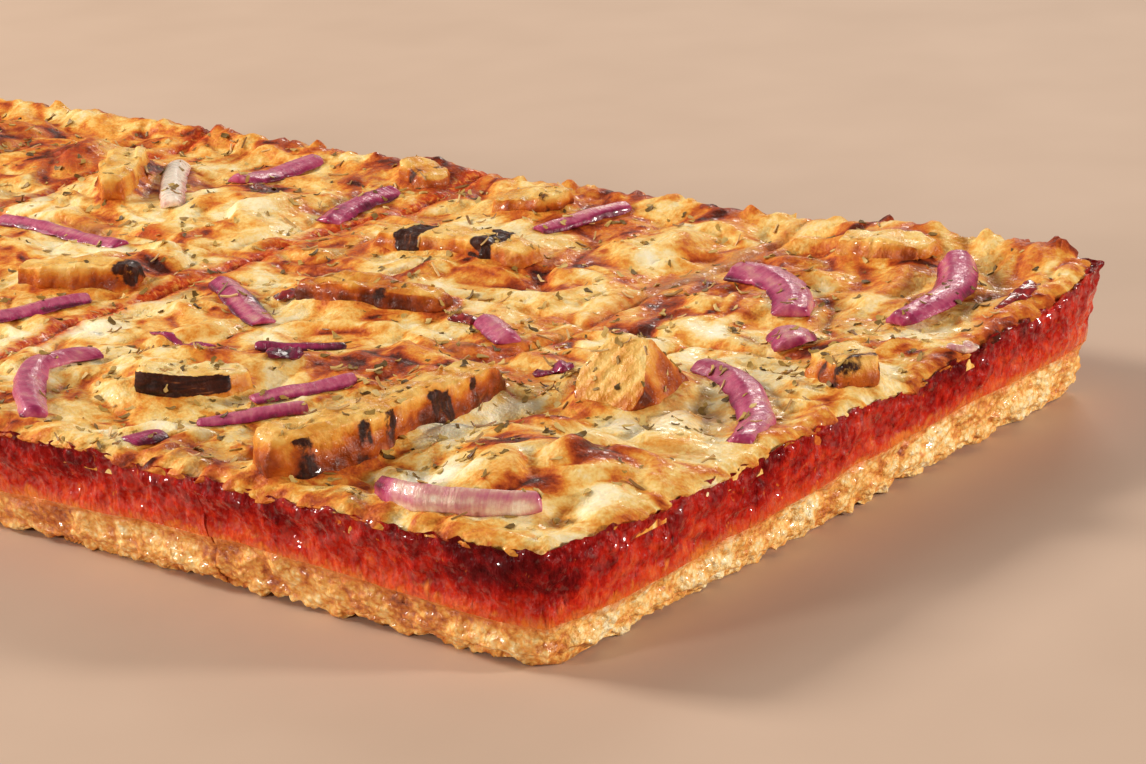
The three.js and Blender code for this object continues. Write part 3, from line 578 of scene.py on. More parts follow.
# At the left, right, front and back: how far the cheese runs over the rim, how high it stands over it,
# how far its edge rolls down, and how high the lumps along the edge are
RIM_SPILL = (2.0, 1.7, 1.9, 2.8)
RIM_COVER = (0.8, 0.5, 0.5, 1.7)
RIM_ROLL = (2.0, 1.8, 1.8, 2.2)
RIM_LUMPS = (1.6, 0.5, 0.5, 3.4)

# How much sauce shows in each column cut, by the column and the side that faces it
CUT_SAUCE = {("1", 1): 0.7, ("2", 0): 0.7, ("2", 1): 1.2, ("3", 0): 1.2, ("3", 1): 0.3, ("4", 0): 0.3}


def outline_at(points, triangles, level):
    """The outline of a closed solid at a level, as places in anticlockwise order."""
    above = points[:, 2] > level
    count = above[triangles].sum(axis=1)
    follows = {}
    for corners in triangles[(count > 0) & (count < 3)]:
        crossed = {}
        for first, second in zip(corners, np.roll(corners, -1)):
            if above[first] != above[second]:
                crossed[bool(above[second])] = (min(first, second), max(first, second))
        follows[crossed[True]] = crossed[False]
    loops = []
    while follows:
        edge, loop = next(iter(follows)), []
        while edge in follows:
            loop.append(edge)
            edge = follows.pop(edge)
        loops.append(loop)
    ends = points[np.array(max(loops, key=len))]
    share = (level - ends[:, 0, 2]) / (ends[:, 1, 2] - ends[:, 0, 2])
    places = ends[:, 0, :2] + share[:, None] * (ends[:, 1, :2] - ends[:, 0, :2])
    x, y = places.T
    area = np.sum(x * np.roll(y, -1) - np.roll(x, -1) * y)
    return places if area > 0 else places[::-1]


def resampled(line, count):
    """A line of places in even steps."""
    along = np.concatenate([[0], np.cumsum(np.linalg.norm(np.diff(line, axis=0), axis=1))])
    stops = np.linspace(0, along[-1], count)
    return np.column_stack([np.interp(stops, along, line[:, axis]) for axis in (0, 1)])


def slice_grid(solid):
    """A grid of places over a slice, and each place's distance to its left, right, front and back sides."""
    outline = outline_at(*solid, CHEESE_WALL_LEVEL)
    corners = [int(np.argmax(outline @ np.array(way))) for way in ((-1, -1), (1, -1), (1, 1), (-1, 1))]
    lines = []
    for start, stop in zip(corners, corners[1:] + corners[:1]):
        stop += len(outline) * (stop < start)
        lines.append(outline[np.arange(start, stop + 1) % len(outline)])
    columns, rows = (np.ptp(outline, axis=0) / CHEESE_STEP).astype(int)
    front, back = resampled(lines[0], columns), resampled(lines[2][::-1], columns)
    right, left = resampled(lines[1], rows), resampled(lines[3][::-1], rows)
    u, v = np.linspace(0, 1, columns)[:, None, None], np.linspace(0, 1, rows)[None, :, None]
    places = (1 - v) * front[:, None] + v * back[:, None] + (1 - u) * left[None] + u * right[None]
    places = places - (1 - u) * ((1 - v) * front[0] + v * back[0]) - u * ((1 - v) * front[-1] + v * back[-1])
    places = places.reshape(-1, 2)
    sides = np.array([np.linalg.norm(places[:, None] - side[None], axis=2).min(axis=1)
                      for side in (left, right, front, back)])
    return places, sides, columns, rows


def closed_sheet(top, foot, columns, rows, floor):
    """Closes a grid of top points with a skirt down to their feet on the floor and a flat underside."""
    number = np.arange(columns * rows).reshape(columns, rows)
    a, b, c, d = number[:-1, :-1], number[1:, :-1], number[1:, 1:], number[:-1, 1:]
    loop = np.concatenate([number[:-1, 0], number[-1, :-1], number[:0:-1, -1], number[0, :0:-1]])
    share = np.arange(1, SKIRT_ROWS + 1)[:, None] / SKIRT_ROWS
    skirt = np.empty((SKIRT_ROWS, len(loop), 3))
    skirt[..., :2] = foot[loop]
    skirt[..., 2] = top[loop, 2] + share * (floor - top[loop, 2])
    points = np.vstack([top, skirt.reshape(-1, 3), skirt[-1].mean(axis=0)])
    rings = np.vstack([loop, len(top) + np.arange(SKIRT_ROWS * len(loop)).reshape(SKIRT_ROWS, -1)])
    triangles = [np.stack(three, axis=-1).reshape(-1, 3) for three in ((a, b, c), (a, c, d))]
    triangles += [ring_walls(rings), ring_end(rings[-1], len(points) - 1)]
    source = np.concatenate([np.arange(len(top)), np.tile(loop, SKIRT_ROWS), loop[:1]])
    return points, np.vstack(triangles), source


def level_places(x, y):
    """Places at height zero."""
    return np.column_stack([x, y, np.zeros(len(x))])


# The relief of the cheese in millimetres, and how far it bulges over the chicken and the onion
SWELL = 1.3
CREASE = 3.2
RIPPLE = 0.5
GRAIN = 0.12
BLISTER = 0.32
OVER_CHICKEN = 0.6
OVER_ONION = 0.2


def cheese_height(x, y, cut_distance):
    """The cheese surface away from its outer edges, how browned it is with painted shade and highlight in it,
    and how much sauce shows.
    """
    plain = level_places(x, y)
    warped = plain + 6.0 * level_places(waves(plain, 19, 1), waves(plain, 19, 2))
    bent = warped + 2.0 * level_places(waves(warped, 8, 7), waves(warped, 8, 8))
    inland = ramp(box_gap(x, y), 3, 12)
    turned = ramp(waves(plain, 38, 9), -0.35, 0.35)
    crease = turned * waves(bent * (0.6, 1.2, 1), 12, 21)
    crease += (1 - turned) * waves(bent * (1.2, 0.6, 1), 12, 23)
    drape = np.sqrt(crease ** 2 + 0.012)
    ripple = waves(bent, 6.5, 25)
    small = fractal(bent, 3.0, 5, 2)
    relief = SWELL * waves(warped, 16, 3) + CREASE * (drape - 0.36) + RIPPLE * ripple + GRAIN * small
    form = cheese_form.at(x, y)
    toppings = np.maximum(onion_wide.at(x, y), chicken_wide.at(x, y))
    calm = (1 - 0.75 * ramp(toppings, 0.02, 0.35)) * (1 - 0.8 * bell(cut_distance, 3.5))
    height = form + relief * (0.25 + 0.75 * inland) * calm
    height += OVER_CHICKEN * ramp(chicken_near.at(x, y), 0.02, 0.5)
    height += OVER_ONION * ramp(onion_near.at(x, y), 0.02, 0.5)
    height += BANKED * chicken_rise.at(x + BANK_SHIFT[0], y + BANK_SHIFT[1]) * (1 - spotted(x, y, UNBANKED))
    raised = np.clip(form - cheese_wide.at(x, y), -1.5, 3.0)
    patch = fractal(bent, 15, 31, 3)
    streak = fractal(bent * (0.35, 1.3, 1), 4.0, 35, 3)
    browning_and_painted_light = 0.40 + 0.20 * patch + 0.11 * fractal(bent, 4.6, 33, 3) + 0.06 * streak
    # Partly see-through orange and partly painted shade: the creases between the drapes are drawn browner
    browning_and_painted_light += 0.20 * bell(crease, 0.14) * ramp(patch, -0.5, 0.3)
    browning_and_painted_light += 0.20 * ramp(patch + 0.25 * small, 0.4, 1.0)
    # The 0.12 share beside the chicken is painted shadow as well as browning from it
    browning_and_painted_light += 0.03 * raised + 0.12 * ramp(chicken_wide.at(x, y), 0.02, 0.4) + 0.12 * ramp(y, 20, 90)
    browning_and_painted_light += 0.8 * spotted(x, y, TOASTED) - 0.75 * spotted(x, y, CREAM_AND_HIGHLIGHT)
    height += spotted(x, y, HUMPS)
    distance, tag = lumps(bent, 4.2, 41)
    blister = (tag < 0.35) * ramp(distance, 0.42, 0.10)
    height += BLISTER * blister
    browning_and_painted_light += 0.24 * blister * ramp(browning_and_painted_light, 0.25, 0.55)
    sauced = spotted(x, y, SAUCED) * (0.8 + 0.5 * small)
    return height, browning_and_painted_light, sauced


def along_cut(foot, side, cut):
    """Places for the noise along a slice's side, the same for both slices at a cut."""
    return level_places(foot[:, 1] if side < 2 else foot[:, 0], np.full(len(foot), CUT_APART * cut))


def cheese_piece(index, part):
    foot, sides, columns, rows = slice_grid(cheese_solids[index])
    row, column = part.split("_")
    outer = np.array([column == "1", column == "4", row == "front", row == "back"])
    outward = np.array([(-1, 0), (1, 0), (0, -1), (0, 1)], float)
    cuts = (int(column) - 1, int(column), ROW_CUT, ROW_CUT)
    shares = np.exp(-(sides[outer] - sides[outer].min(axis=0)) / SIDE_BLEND)
    shares = (shares / shares.sum(axis=0)).T
    spill, cover, roll, lump = (shares @ np.array(values)[outer]
                                for values in (RIM_SPILL, RIM_COVER, RIM_ROLL, RIM_LUMPS))
    edge_distance, cut_distance = sides[outer].min(axis=0), sides[~outer].min(axis=0)
    ragged = fractal(level_places(*foot.T), 5.0, 51, 3)
    run = fade(edge_distance, SPILL_REACH) ** 2 * spill * np.clip(0.7 + 1.1 * ragged, 0, 1.6)
    place = foot + (shares @ outward[outer]) * run[:, None]
    for side in np.flatnonzero(~outer):
        drift = CUT_WANDER * fractal(along_cut(foot, side, cuts[side]), 9.0, 55, 3) * bell(sides[side], 4.0)
        closing = CUT_CLOSING * fade(sides[side], 4.0)
        place = place + np.abs(outward[side]) * drift[:, None] + outward[side] * closing[:, None]
    height, browning_and_painted_light, sauced = cheese_height(*place.T, cut_distance)
    flat = level_places(*place.T)
    ragged = fractal(flat, 5.0, 51, 3)
    rim = along_profile(rim_edge, round_place(*foot.T))
    apart, tag = lumps(flat, 6.0, 57)
    lumpy = ramp(apart, 0.55, 0.15) * (tag - 0.15)
    lifted = rim + cover + 0.7 * ragged - cheese_form.at(*place.T)
    height += lifted * ramp(edge_distance, RIM_REACH, 1.0)
    height -= roll * fade(edge_distance, 4.0) ** 2 + 1.3 * np.clip(ragged, 0, 1) * fade(edge_distance, 1.6)
    height += lump * lumpy * bell(edge_distance, 4.5)
    browning_and_painted_light += 0.20 * fade(edge_distance, 5.0) * (0.5 + ragged)
    groove = np.zeros(len(place))
    for side in np.flatnonzero(~outer):
        open_here = ramp(waves(along_cut(foot, side, cuts[side]), 9.0, 59), -0.45, 0.45)
        groove = np.maximum(groove, bell(sides[side], 1.4) * (CUT_DEPTH[0] + CUT_DEPTH[1] * open_here))
        # Painted shade: the cheese along each cut is drawn browner, as the cut's recess is shaded
        browning_and_painted_light += 0.16 * bell(sides[side], 2.2) * (0.7 + ragged)
        if side < 2:
            sauced += 1.5 * bell(sides[side], 2.4) * (0.4 + open_here) * CUT_SAUCE[column, side]
    top = np.column_stack([place, height - groove])
    points, triangles, source = closed_sheet(top, foot, columns, rows, CHEESE_FLOOR)
    sheer = spotted(*place.T, SHEER)
    looks = {"browning_and_painted_light": browning_and_painted_light[source], "sauced": sauced[source], "sheer": sheer[source]}
    return layer_piece("melted", "cheese", part, points, triangles, cheese_material(), looks)


# Materials
def colour(red, green, blue):
    """A shader colour from the usual 0 to 255 values."""
    channels = [value / 255 for value in (red, green, blue)]
    return (*[c / 12.92 if c <= 0.04045 else ((c + 0.055) / 1.055) ** 2.4 for c in channels], 1)


class Shader:
    """A material whose nodes are added by short calls.

    Its textures follow the object's own places, in metres, or a mesh attribute's, in millimetres.
    """

    def __init__(self, name, attribute=None):
        self.material = bpy.data.materials.new(name)
        self.material.use_nodes = True
        self.tree = self.material.node_tree
        self.surface = self.tree.nodes["Principled BSDF"]
        self.unit = 1 if attribute else MM
        if attribute:
            self.place = self.value(attribute, "Vector")
        else:
            self.place = self.node("ShaderNodeTexCoord").outputs["Object"]

    def set(self, socket, value):
        if isinstance(value, bpy.types.NodeSocket):
            self.tree.links.new(value, socket)
        else:
            socket.default_value = value

    def node(self, kind, inputs=None, **settings):
        made = self.tree.nodes.new(kind)
        for key, value in settings.items():
            setattr(made, key, value)
        for key, value in (inputs or {}).items():
            self.set(made.inputs[key], value)
        return made

    def finish(self, **inputs):
        for key, value in inputs.items():
            self.set(self.surface.inputs[key.replace("_", " ")], value)
        return self.material

    def value(self, name, output="Fac"):
        return self.node("ShaderNodeAttribute", attribute_name=name).outputs[output]

    def spaced(self, size, stretch=None):
        """The inputs for a texture with features of about a size in millimetres."""
        where = self.place
        if stretch:
            where = self.node("ShaderNodeVectorMath", {0: where, 1: stretch}, operation="MULTIPLY").outputs[0]
        return {"Vector": where, "Scale": 1 / (size * self.unit)}

    def noise(self, size, detail=3.0, stretch=None, rough=0.55, warp=0.0):
        """Noise from 0 to 1, whose features are longer along an axis where stretch is under 1."""
        inputs = {**self.spaced(size, stretch), "Detail": detail, "Roughness": rough, "Distortion": warp}
        return self.node("ShaderNodeTexNoise", inputs).outputs["Fac"]

    def cells(self, size):
        """The distance to the nearest of scattered points."""
        return self.node("ShaderNodeTexVoronoi", self.spaced(size)).outputs["Distance"]

    def math(self, operation, a, b=0.0, clamp=False):
        return self.node("ShaderNodeMath", {0: a, 1: b}, operation=operation, use_clamp=clamp).outputs[0]

    def about(self, value):
        """The value less a half, so that noise swings about zero."""
        return self.math("SUBTRACT", value, 0.5)

    def add(self, *parts):
        """The sum of values and of (value, weight) pairs."""
        parts = [self.math("MULTIPLY", *part) if isinstance(part, tuple) else part for part in parts]
        return reduce(lambda total, part: self.math("ADD", total, part), parts)

    def span(self, value, low, high, to_low=0.0, to_high=1.0):
        inputs = {"Value": value, "From Min": low, "From Max": high, "To Min": to_low, "To Max": to_high}
        return self.node("ShaderNodeMapRange", inputs, interpolation_type="SMOOTHSTEP").outputs["Result"]

    def ramp(self, value, stops):
        """A colour from a value by (value, red, green, blue) stops."""
        made = self.node("ShaderNodeValToRGB", {"Fac": value})
        elements = made.color_ramp.elements
        while len(elements) < len(stops):
            elements.new(0.5)
        for element, (at, *shade) in zip(elements, stops):
            element.position = at
            element.color = colour(*shade)
        return made.outputs["Color"]

    def mix(self, share, a, b):
        return self.node("ShaderNodeMix", {"Factor": share, 6: a, 7: b}, data_type="RGBA").outputs[2]

    def bump(self, *layers):
        """Relief from (height, depth in millimetres) pairs."""
        normal = None
        for height, depth in layers:
            inputs = {"Height": height, "Distance": depth * MM, "Strength": 1.0}
            if normal is not None:
                inputs["Normal"] = normal
            normal = self.node("ShaderNodeBump", inputs).outputs["Normal"]
        return normal


# Each material is made once
@cache
def cheese_material():
    s = Shader("melted_cheese")
    fine = s.noise(1.5, 4, warp=0.6)
    wisp = s.noise(4.0, 5, rough=0.6, warp=1.6)
    speck = s.noise(0.7, 3)
    browning_and_painted_light = s.add(s.value("browning_and_painted_light"), (s.about(fine), 0.28), (s.about(wisp), 0.40), (s.about(speck), 0.20))
    shade = s.ramp(browning_and_painted_light, [
        (0.00, 254, 244, 218), (0.22, 251, 231, 180), (0.38, 245, 204, 120),
        (0.52, 230, 156, 62), (0.66, 206, 106, 38), (0.80, 166, 66, 26),
        (0.92, 122, 44, 20), (1.00, 78, 28, 14)])
    sauced = s.math("MULTIPLY", s.value("sauced"), s.span(s.noise(2.2, 4), 0.25, 0.6, 0.3, 1.2), clamp=True)
    sauce = s.ramp(fine, [(0.3, 158, 36, 16), (0.52, 208, 82, 30), (0.72, 240, 168, 74)])
    shade = s.mix(sauced, shade, sauce)
    sheer = s.math("MULTIPLY", s.value("sheer"), s.span(wisp, 0.3, 0.6, 0.5, 1.1), clamp=True)
    shade = s.mix(sheer, shade, s.ramp(fine, [(0.3, 150, 96, 56), (0.7, 216, 164, 104)]))
    relief = s.bump((s.noise(2.4, 3, warp=0.6), 0.40), (s.noise(0.8, 3), 0.22))
    gloss = s.span(s.noise(2.2, 3), 0.35, 0.65, 0.34, 0.60)
    wet = s.span(s.noise(1.3, 3), 0.55, 0.66, 0.0, 0.75)
    return s.finish(Base_Color=shade, Roughness=gloss, Normal=relief, Subsurface_Weight=0.12,
                    Subsurface_Radius=(1.0, 0.6, 0.25), Subsurface_Scale=0.0012, Specular_IOR_Level=0.14,
                    Coat_Weight=wet, Coat_Roughness=0.07)


@cache
def sauce_material():
    s = Shader("baked_sauce")
    band = s.value("band")
    coarse = s.noise(6.5, 4, warp=0.8)
    fine = s.noise(1.3, 4)
    streak = s.noise(1.5, 4, stretch=(1, 1, 0.3), warp=0.5)
    burnt = s.value("burnt")
    tone = s.add((coarse, 0.95), (fine, 0.26), (streak, 0.34), (burnt, -0.62), (band, -0.26), -0.12)
    shade = s.ramp(tone, [
        (0.02, 70, 2, 6), (0.22, 104, 6, 10), (0.40, 150, 16, 12),
        (0.57, 190, 36, 18), (0.74, 214, 76, 34), (0.92, 234, 128, 66)])
    flecks = s.span(s.noise(2.6, 4, stretch=(1, 1, 0.55), warp=1.0), 0.67, 0.73)
    shade = s.mix(s.math("MULTIPLY", flecks, 0.8), shade, colour(232, 128, 46))
    drip = s.add(band, (s.about(coarse), 0.8), (s.about(streak), 0.3))
    shade = s.mix(s.span(drip, 0.14, -0.06), shade, colour(224, 118, 44))
    beads = s.noise(2.2, 1, stretch=(1, 1, 0.5), warp=0.8)
    finer = s.noise(0.8, 2, stretch=(1, 1, 0.5), warp=0.4)
    relief = s.bump((beads, 0.7), (finer, 0.40))
    wet = s.span(s.add(s.noise(1.5, 3), (burnt, -0.4)), 0.45, 0.53)
    return s.finish(Base_Color=shade, Roughness=s.span(fine, 0.3, 0.7, 0.20, 0.38), Normal=relief,
                    Specular_IOR_Level=0.08, Subsurface_Weight=0.05, Subsurface_Radius=(1.0, 0.2, 0.1),
                    Subsurface_Scale=0.001, Coat_Weight=wet, Coat_Roughness=0.05)


@cache
def crust_material():
    s = Shader("baked_crust")
    coarse = s.noise(7.0, 4)
    fine = s.noise(1.2, 4)
    # Partly crumb colour and partly painted shade: the crust is drawn darker in the pits between its
    # granules, the same pits that the bump sinks
    grain_and_pit_shade = s.add((s.cells(1.4), 0.7), (s.about(fine), 1.5), 0.13)
    tone = s.add((coarse, 0.42), (grain_and_pit_shade, 0.42), s.value("baked"))
    shade = s.ramp(tone, [
        (0.20, 255, 240, 196), (0.34, 253, 216, 142), (0.48, 242, 178, 86),
        (0.64, 216, 130, 48), (0.82, 174, 84, 28), (1.00, 112, 50, 18)])
    stain = s.math("MULTIPLY", s.value("stained"), s.span(fine, 0.25, 0.7, 0.6, 1.1), clamp=True)
    shade = s.mix(stain, shade, colour(222, 116, 44))
    relief = s.bump((s.noise(2.0, 4), 0.6), (s.cells(1.4), -0.28), (s.noise(0.7, 2), 0.3))
    return s.finish(Base_Color=shade, Roughness=s.span(fine, 0.3, 0.7, 0.30, 0.52), Normal=relief,
                    Subsurface_Weight=0.1, Subsurface_Radius=(1.0, 0.6, 0.3), Subsurface_Scale=0.001,
                    Coat_Weight=s.span(s.noise(1.6, 3), 0.45, 0.6, 0.1, 0.9), Coat_Roughness=0.10)


@cache
def chicken_material():
    s = Shader("grilled_chicken", "local")
    fibre = s.noise(1.0, 4, stretch=(0.9, 0.16, 0.16), warp=0.4)
    mottle = s.noise(3.4, 4, warp=0.8)
    blotch = s.noise(6.0, 3, warp=0.5)
    tone = s.add(s.value("golden"), (s.about(fibre), 0.12), (s.about(mottle), 0.46), (s.about(blotch), 0.45))
    shade = s.ramp(tone, [
        (0.04, 250, 224, 156), (0.26, 240, 192, 104), (0.46, 218, 148, 58),
        (0.64, 190, 98, 30), (0.80, 148, 62, 20), (0.96, 92, 36, 14)])
    crumbs = s.noise(0.8, 3)
    char = s.span(s.add(s.value("charred"), (s.about(mottle), 0.8), (s.about(crumbs), 0.5)), 0.46, 0.76)
    shade = s.mix(char, shade, s.ramp(fibre, [(0.3, 20, 8, 6), (0.62, 70, 30, 16), (0.75, 150, 88, 46)]))
    relief = s.bump((fibre, 0.12), (s.noise(1.9, 3), 0.55), (s.noise(0.7, 3), 0.16))
    dry = s.span(s.noise(2.2, 3), 0.3, 0.7, 0.22, 0.5)
    wet = s.span(s.noise(1.4, 3), 0.54, 0.66, 0.0, 0.6)
    return s.finish(Base_Color=shade, Roughness=s.add(dry, (char, 0.2)), Normal=relief,
                    Subsurface_Weight=0.1, Subsurface_Radius=(1.0, 0.5, 0.22), Subsurface_Scale=0.0012,
                    Specular_IOR_Level=0.18, Coat_Weight=wet, Coat_Roughness=0.08)


@cache
def onion_material():
    s = Shader("red_onion", "local")
    line = s.noise(0.5, 3, stretch=(0.9, 0.10, 0.10), warp=0.25)
    skin = s.noise(3.0, 4)
    tone = s.add(s.value("plum"), (s.about(line), 0.24), (s.about(skin), 0.66))
    shade = s.ramp(tone, [
        (0.00, 240, 224, 206), (0.10, 226, 190, 170), (0.22, 208, 146, 142), (0.40, 192, 98, 126),
        (0.60, 160, 46, 92), (0.80, 106, 24, 54), (0.98, 60, 8, 26)])
    relief = s.bump((line, 0.16), (s.noise(1.2, 3), 0.24))
    wet = s.span(s.noise(1.6, 3), 0.50, 0.62, 0.0, 0.75)
    return s.finish(Base_Color=shade, Roughness=s.span(skin, 0.3, 0.7, 0.24, 0.42), Normal=relief,
                    Subsurface_Weight=0.12, Subsurface_Radius=(1.0, 0.4, 0.5), Subsurface_Scale=0.0012,
                    Specular_IOR_Level=0.25, Coat_Weight=wet, Coat_Roughness=0.08)


@cache
def herb_material():
    s = Shader("dried_herb")
    tone = s.add(s.value("tone"), (s.about(s.noise(0.6, 2)), 0.3))
    shade = s.ramp(tone, [(0.0, 88, 64, 20), (0.3, 138, 104, 38), (0.6, 184, 146, 66), (1.0, 214, 182, 110)])
    return s.finish(Base_Color=shade, Roughness=0.6, Normal=s.bump((s.noise(0.35, 2), 0.06)))


@cache
def stem_material():
    s = Shader("herb_stem")
    shade = s.ramp(s.add(s.value("tone"), (s.about(s.noise(0.8, 2)), 0.4)), [
        (0.1, 138, 96, 48), (0.6, 196, 152, 90), (1.0, 226, 192, 132)])
    return s.finish(Base_Color=shade, Roughness=0.5)


@cache
def glaze_material():
    s = Shader("barbecue_glaze")
    shade = s.ramp(s.noise(1.8, 3), [(0.3, 92, 8, 12), (0.55, 146, 20, 22), (0.8, 188, 50, 36)])
    return s.finish(Base_Color=shade, Roughness=0.18, Normal=s.bump((s.noise(1.2, 3), 0.25)),
                    Coat_Weight=0.6, Coat_Roughness=0.06)


@cache
def floor_material():
    s = Shader("pale_floor")
    shade = s.ramp(s.noise(60.0, 2), [(0.3, 196, 168, 146), (0.7, 202, 174, 152)])
    return s.finish(Base_Color=shade, Roughness=0.7)


# How far inside the wall the fine mesh goes: in the crust, in the sauce, and at the top of the sauce's rim
CRUST_FACE = 1.4
SAUCE_FACE = 1.2
RIM_FACE = 4.2

# A slice's outer wall is measured between its points that are nearer to the outside than this
WALL_GAP = 3.0


def wall_detail(points, hidden):
    """The longest edge at each place: fine on the outer wall, and coarser from this far inside it."""
    return np.clip(WALL_DETAIL + 4.0 * (outside_gap(points) - hidden), WALL_DETAIL, HIDDEN_DETAIL)


# The relief of the crust in millimetres
CRUST_LUMPS = 1.7
CRUST_PORES = 1.1
CRUST_SWELL = 0.6


def crust_piece(part):
    points, triangles = refined(*node_arrays(f"crust_{part}"), lambda places: wall_detail(places, CRUST_FACE))
    gap = outside_gap(points)
    places = round_place(*points[:, :2].T)
    edge = along_profile(crust_edge, places)
    wall = ramp(gap, 2.6, 0.9)
    away = wall_outward(points)
    distance, tag = lumps(points, 5.2, 61)
    finer, _ = lumps(points * (1, 1, 1.5), 2.5, 65)
    coarse = fractal(points, 9.0, 67, 2)
    ends, way = wall_ends(places, gap < WALL_GAP)
    bulge = CRUST_LUMPS * (0.55 - distance) * (0.5 + tag) + CRUST_PORES * (0.5 - finer)
    bulge += CRUST_SWELL * (coarse - 1)
    bulge = bulge * (1 - 0.8 * ramp(points[:, 2], edge - 1.5, edge)) - 0.5 * ramp(ends, 1.4, 0.0) ** 2
    shaped = points + away * (wall * bulge)[:, None]
    seam = np.column_stack([places / 30, np.zeros_like(places), points[:, 2]])
    drift = 1.1 * waves(seam, 6.0, 69) * ramp(ends, 7, 0) + 0.30 * way * ramp(ends, 1, 0)
    shaped += wall_direction(*points[:, :2].T) * (wall * drift)[:, None]
    foot = wall * ramp(points[:, 2], 4.5, 0.0)
    serrated = 1.0 * coarse + 2.0 * (distance - 0.42) + 1.4 * (finer - 0.42)
    shaped[:, 2] += foot * np.clip(0.7 + serrated, 0, 2.8)
    shaped[:, 2] = np.maximum(shaped[:, 2], 0)
    spot = np.column_stack([places, points[:, 2], gap])
    stained = 0.9 * ramp(points[:, 2] + 1.0 * fractal(points, 5, 71, 3), edge - 2.4, edge + 0.2)
    front = ramp(points[:, 1] - BOX_MIDDLE[1], -BOX_HALF[1] + 16, -BOX_HALF[1] + 2)
    # Besides real baking, baked holds painted shade: browner between the lumps and at the wall's ends beside
    # the cuts
    baked = 0.13 * waves(spot, 26, 73) + 0.13 * front + 0.2 * ramp(distance, 0.4, 0.8) - 0.03
    baked += 0.2 * wall * ramp(ends, 1.6, 0)
    looks = {"stained": stained, "baked": baked}
    return layer_piece("baked", "crust", part, shaped, triangles, crust_material(), looks)


# Above this height the sauce shows on top of the rim too
RIM_FOOT = 24.5

# Where the sauce at the side is burnt darkest: place x, y, reach, strength
BURNT = [
    (182, -104, 16, 0.55), (198, 36, 14, 0.40), (60, -109, 14, 0.3), (197, -40, 14, 0.25),
    (120, -109, 10, 0.2), (-60, -109, 20, 0.3), (-150, -109, 18, 0.35), (-198, 0, 25, 0.3),
    (-90, 109, 22, 0.35), (80, 109, 25, 0.35),
]


def sauce_detail(points):
    """The longest edge for the sauce at each place, which is fine on the top of the rim too."""
    return wall_detail(points, np.where(points[:, 2] < RIM_FOOT, SAUCE_FACE, RIM_FACE))


# The relief of the sauce in millimetres
SAUCE_SWELL = 0.9
SAUCE_STREAKS = 0.2
SAUCE_PITS = 0.9
SAUCE_GRAINS = 0.3


def sauce_piece(part):
    points, triangles = refined(*node_arrays(f"sauce_{part}"), sauce_detail)
    gap = outside_gap(points)
    places = round_place(*points[:, :2].T)
    edge = along_profile(crust_edge, places)
    rim = along_profile(rim_edge, places)
    band = (points[:, 2] - edge) / (rim - edge)
    wall = ramp(gap, 4.2, 2.4)
    away = wall_outward(points)
    pits, _ = lumps(points * (1, 1, 0.7), 3.0, 81)
    coarse = fractal(points, 6.5, 83, 3)
    fine = fractal(points * (1, 1, 0.35), 1.9, 85, 2)
    grains, _ = lumps(points, 1.8, 89)
    bulge = SAUCE_SWELL * coarse + SAUCE_STREAKS * fine - 0.5
    bulge += SAUCE_PITS * (0.45 - pits) + SAUCE_GRAINS * (0.45 - grains)
    bulge = bulge * ramp(band, 0.0, 0.3) - 0.25 * ramp(band, 0.12, 0.0)
    shaped = points + away * (wall * bulge)[:, None]
    ends, way = wall_ends(places, gap < WALL_GAP)
    close = way * 0.8 * ramp(ends, 1.5, 0.0) * ramp(gap, 6.0, 3.0)
    shaped += wall_direction(*points[:, :2].T) * close[:, None]
    crest = wall * ramp(band, 0.8, 1.0)
    shaped[:, 2] += crest * (0.7 * fractal(points, 4.2, 87, 3) + 0.2 * coarse - 1.1)
    lip = ramp(gap, 2.2, 1.0) * ramp(band, 0.16, 0.0)
    shaped[:, 2] -= lip * 0.45
    burnt = sum(strength * bell(np.hypot(points[:, 0] - x, points[:, 1] - y), reach)
                for x, y, reach, strength in BURNT)
    burnt = 0.9 * burnt * ramp(band, 0.1, 0.6) + 0.10 * ramp(band, 0.55, 1.0) * (0.5 + 0.9 * coarse)
    looks = {"band": band, "burnt": burnt}
    return layer_piece("baked", "sauce", part, shaped, triangles, sauce_material(), looks)


# Toppings
def local_places(points):
    """Places along a topping's bent middle line, across it and up from its foot, and the way back."""
    centre = np.array([*points[:, :2].mean(axis=0), points[:, 2].min()])
    _, directions = np.linalg.eigh(np.cov((points[:, :2] - centre[:2]).T))
    ahead = directions[:, 1] * (1 if directions[0, 1] > 0 else -1)
    axes = np.array([[*ahead, 0], [-ahead[1], ahead[0], 0], [0, 0, 1]])
    local = (points - centre) @ axes.T
    bent = np.polyfit(local[:, 0], local[:, 1], 2)
    local[:, 1] -= np.polyval(bent, local[:, 0])

    def back(places):
        straight = places.copy()
        straight[:, 1] += np.polyval(bent, places[:, 0])
        return straight @ axes + centre

    return local, back


def topping_arrays(name, rounds):
    points, triangles = refined(*topping_solids[name], lambda places: TOPPING_DETAIL)
    return smoothed(points, triangles, rounds), triangles


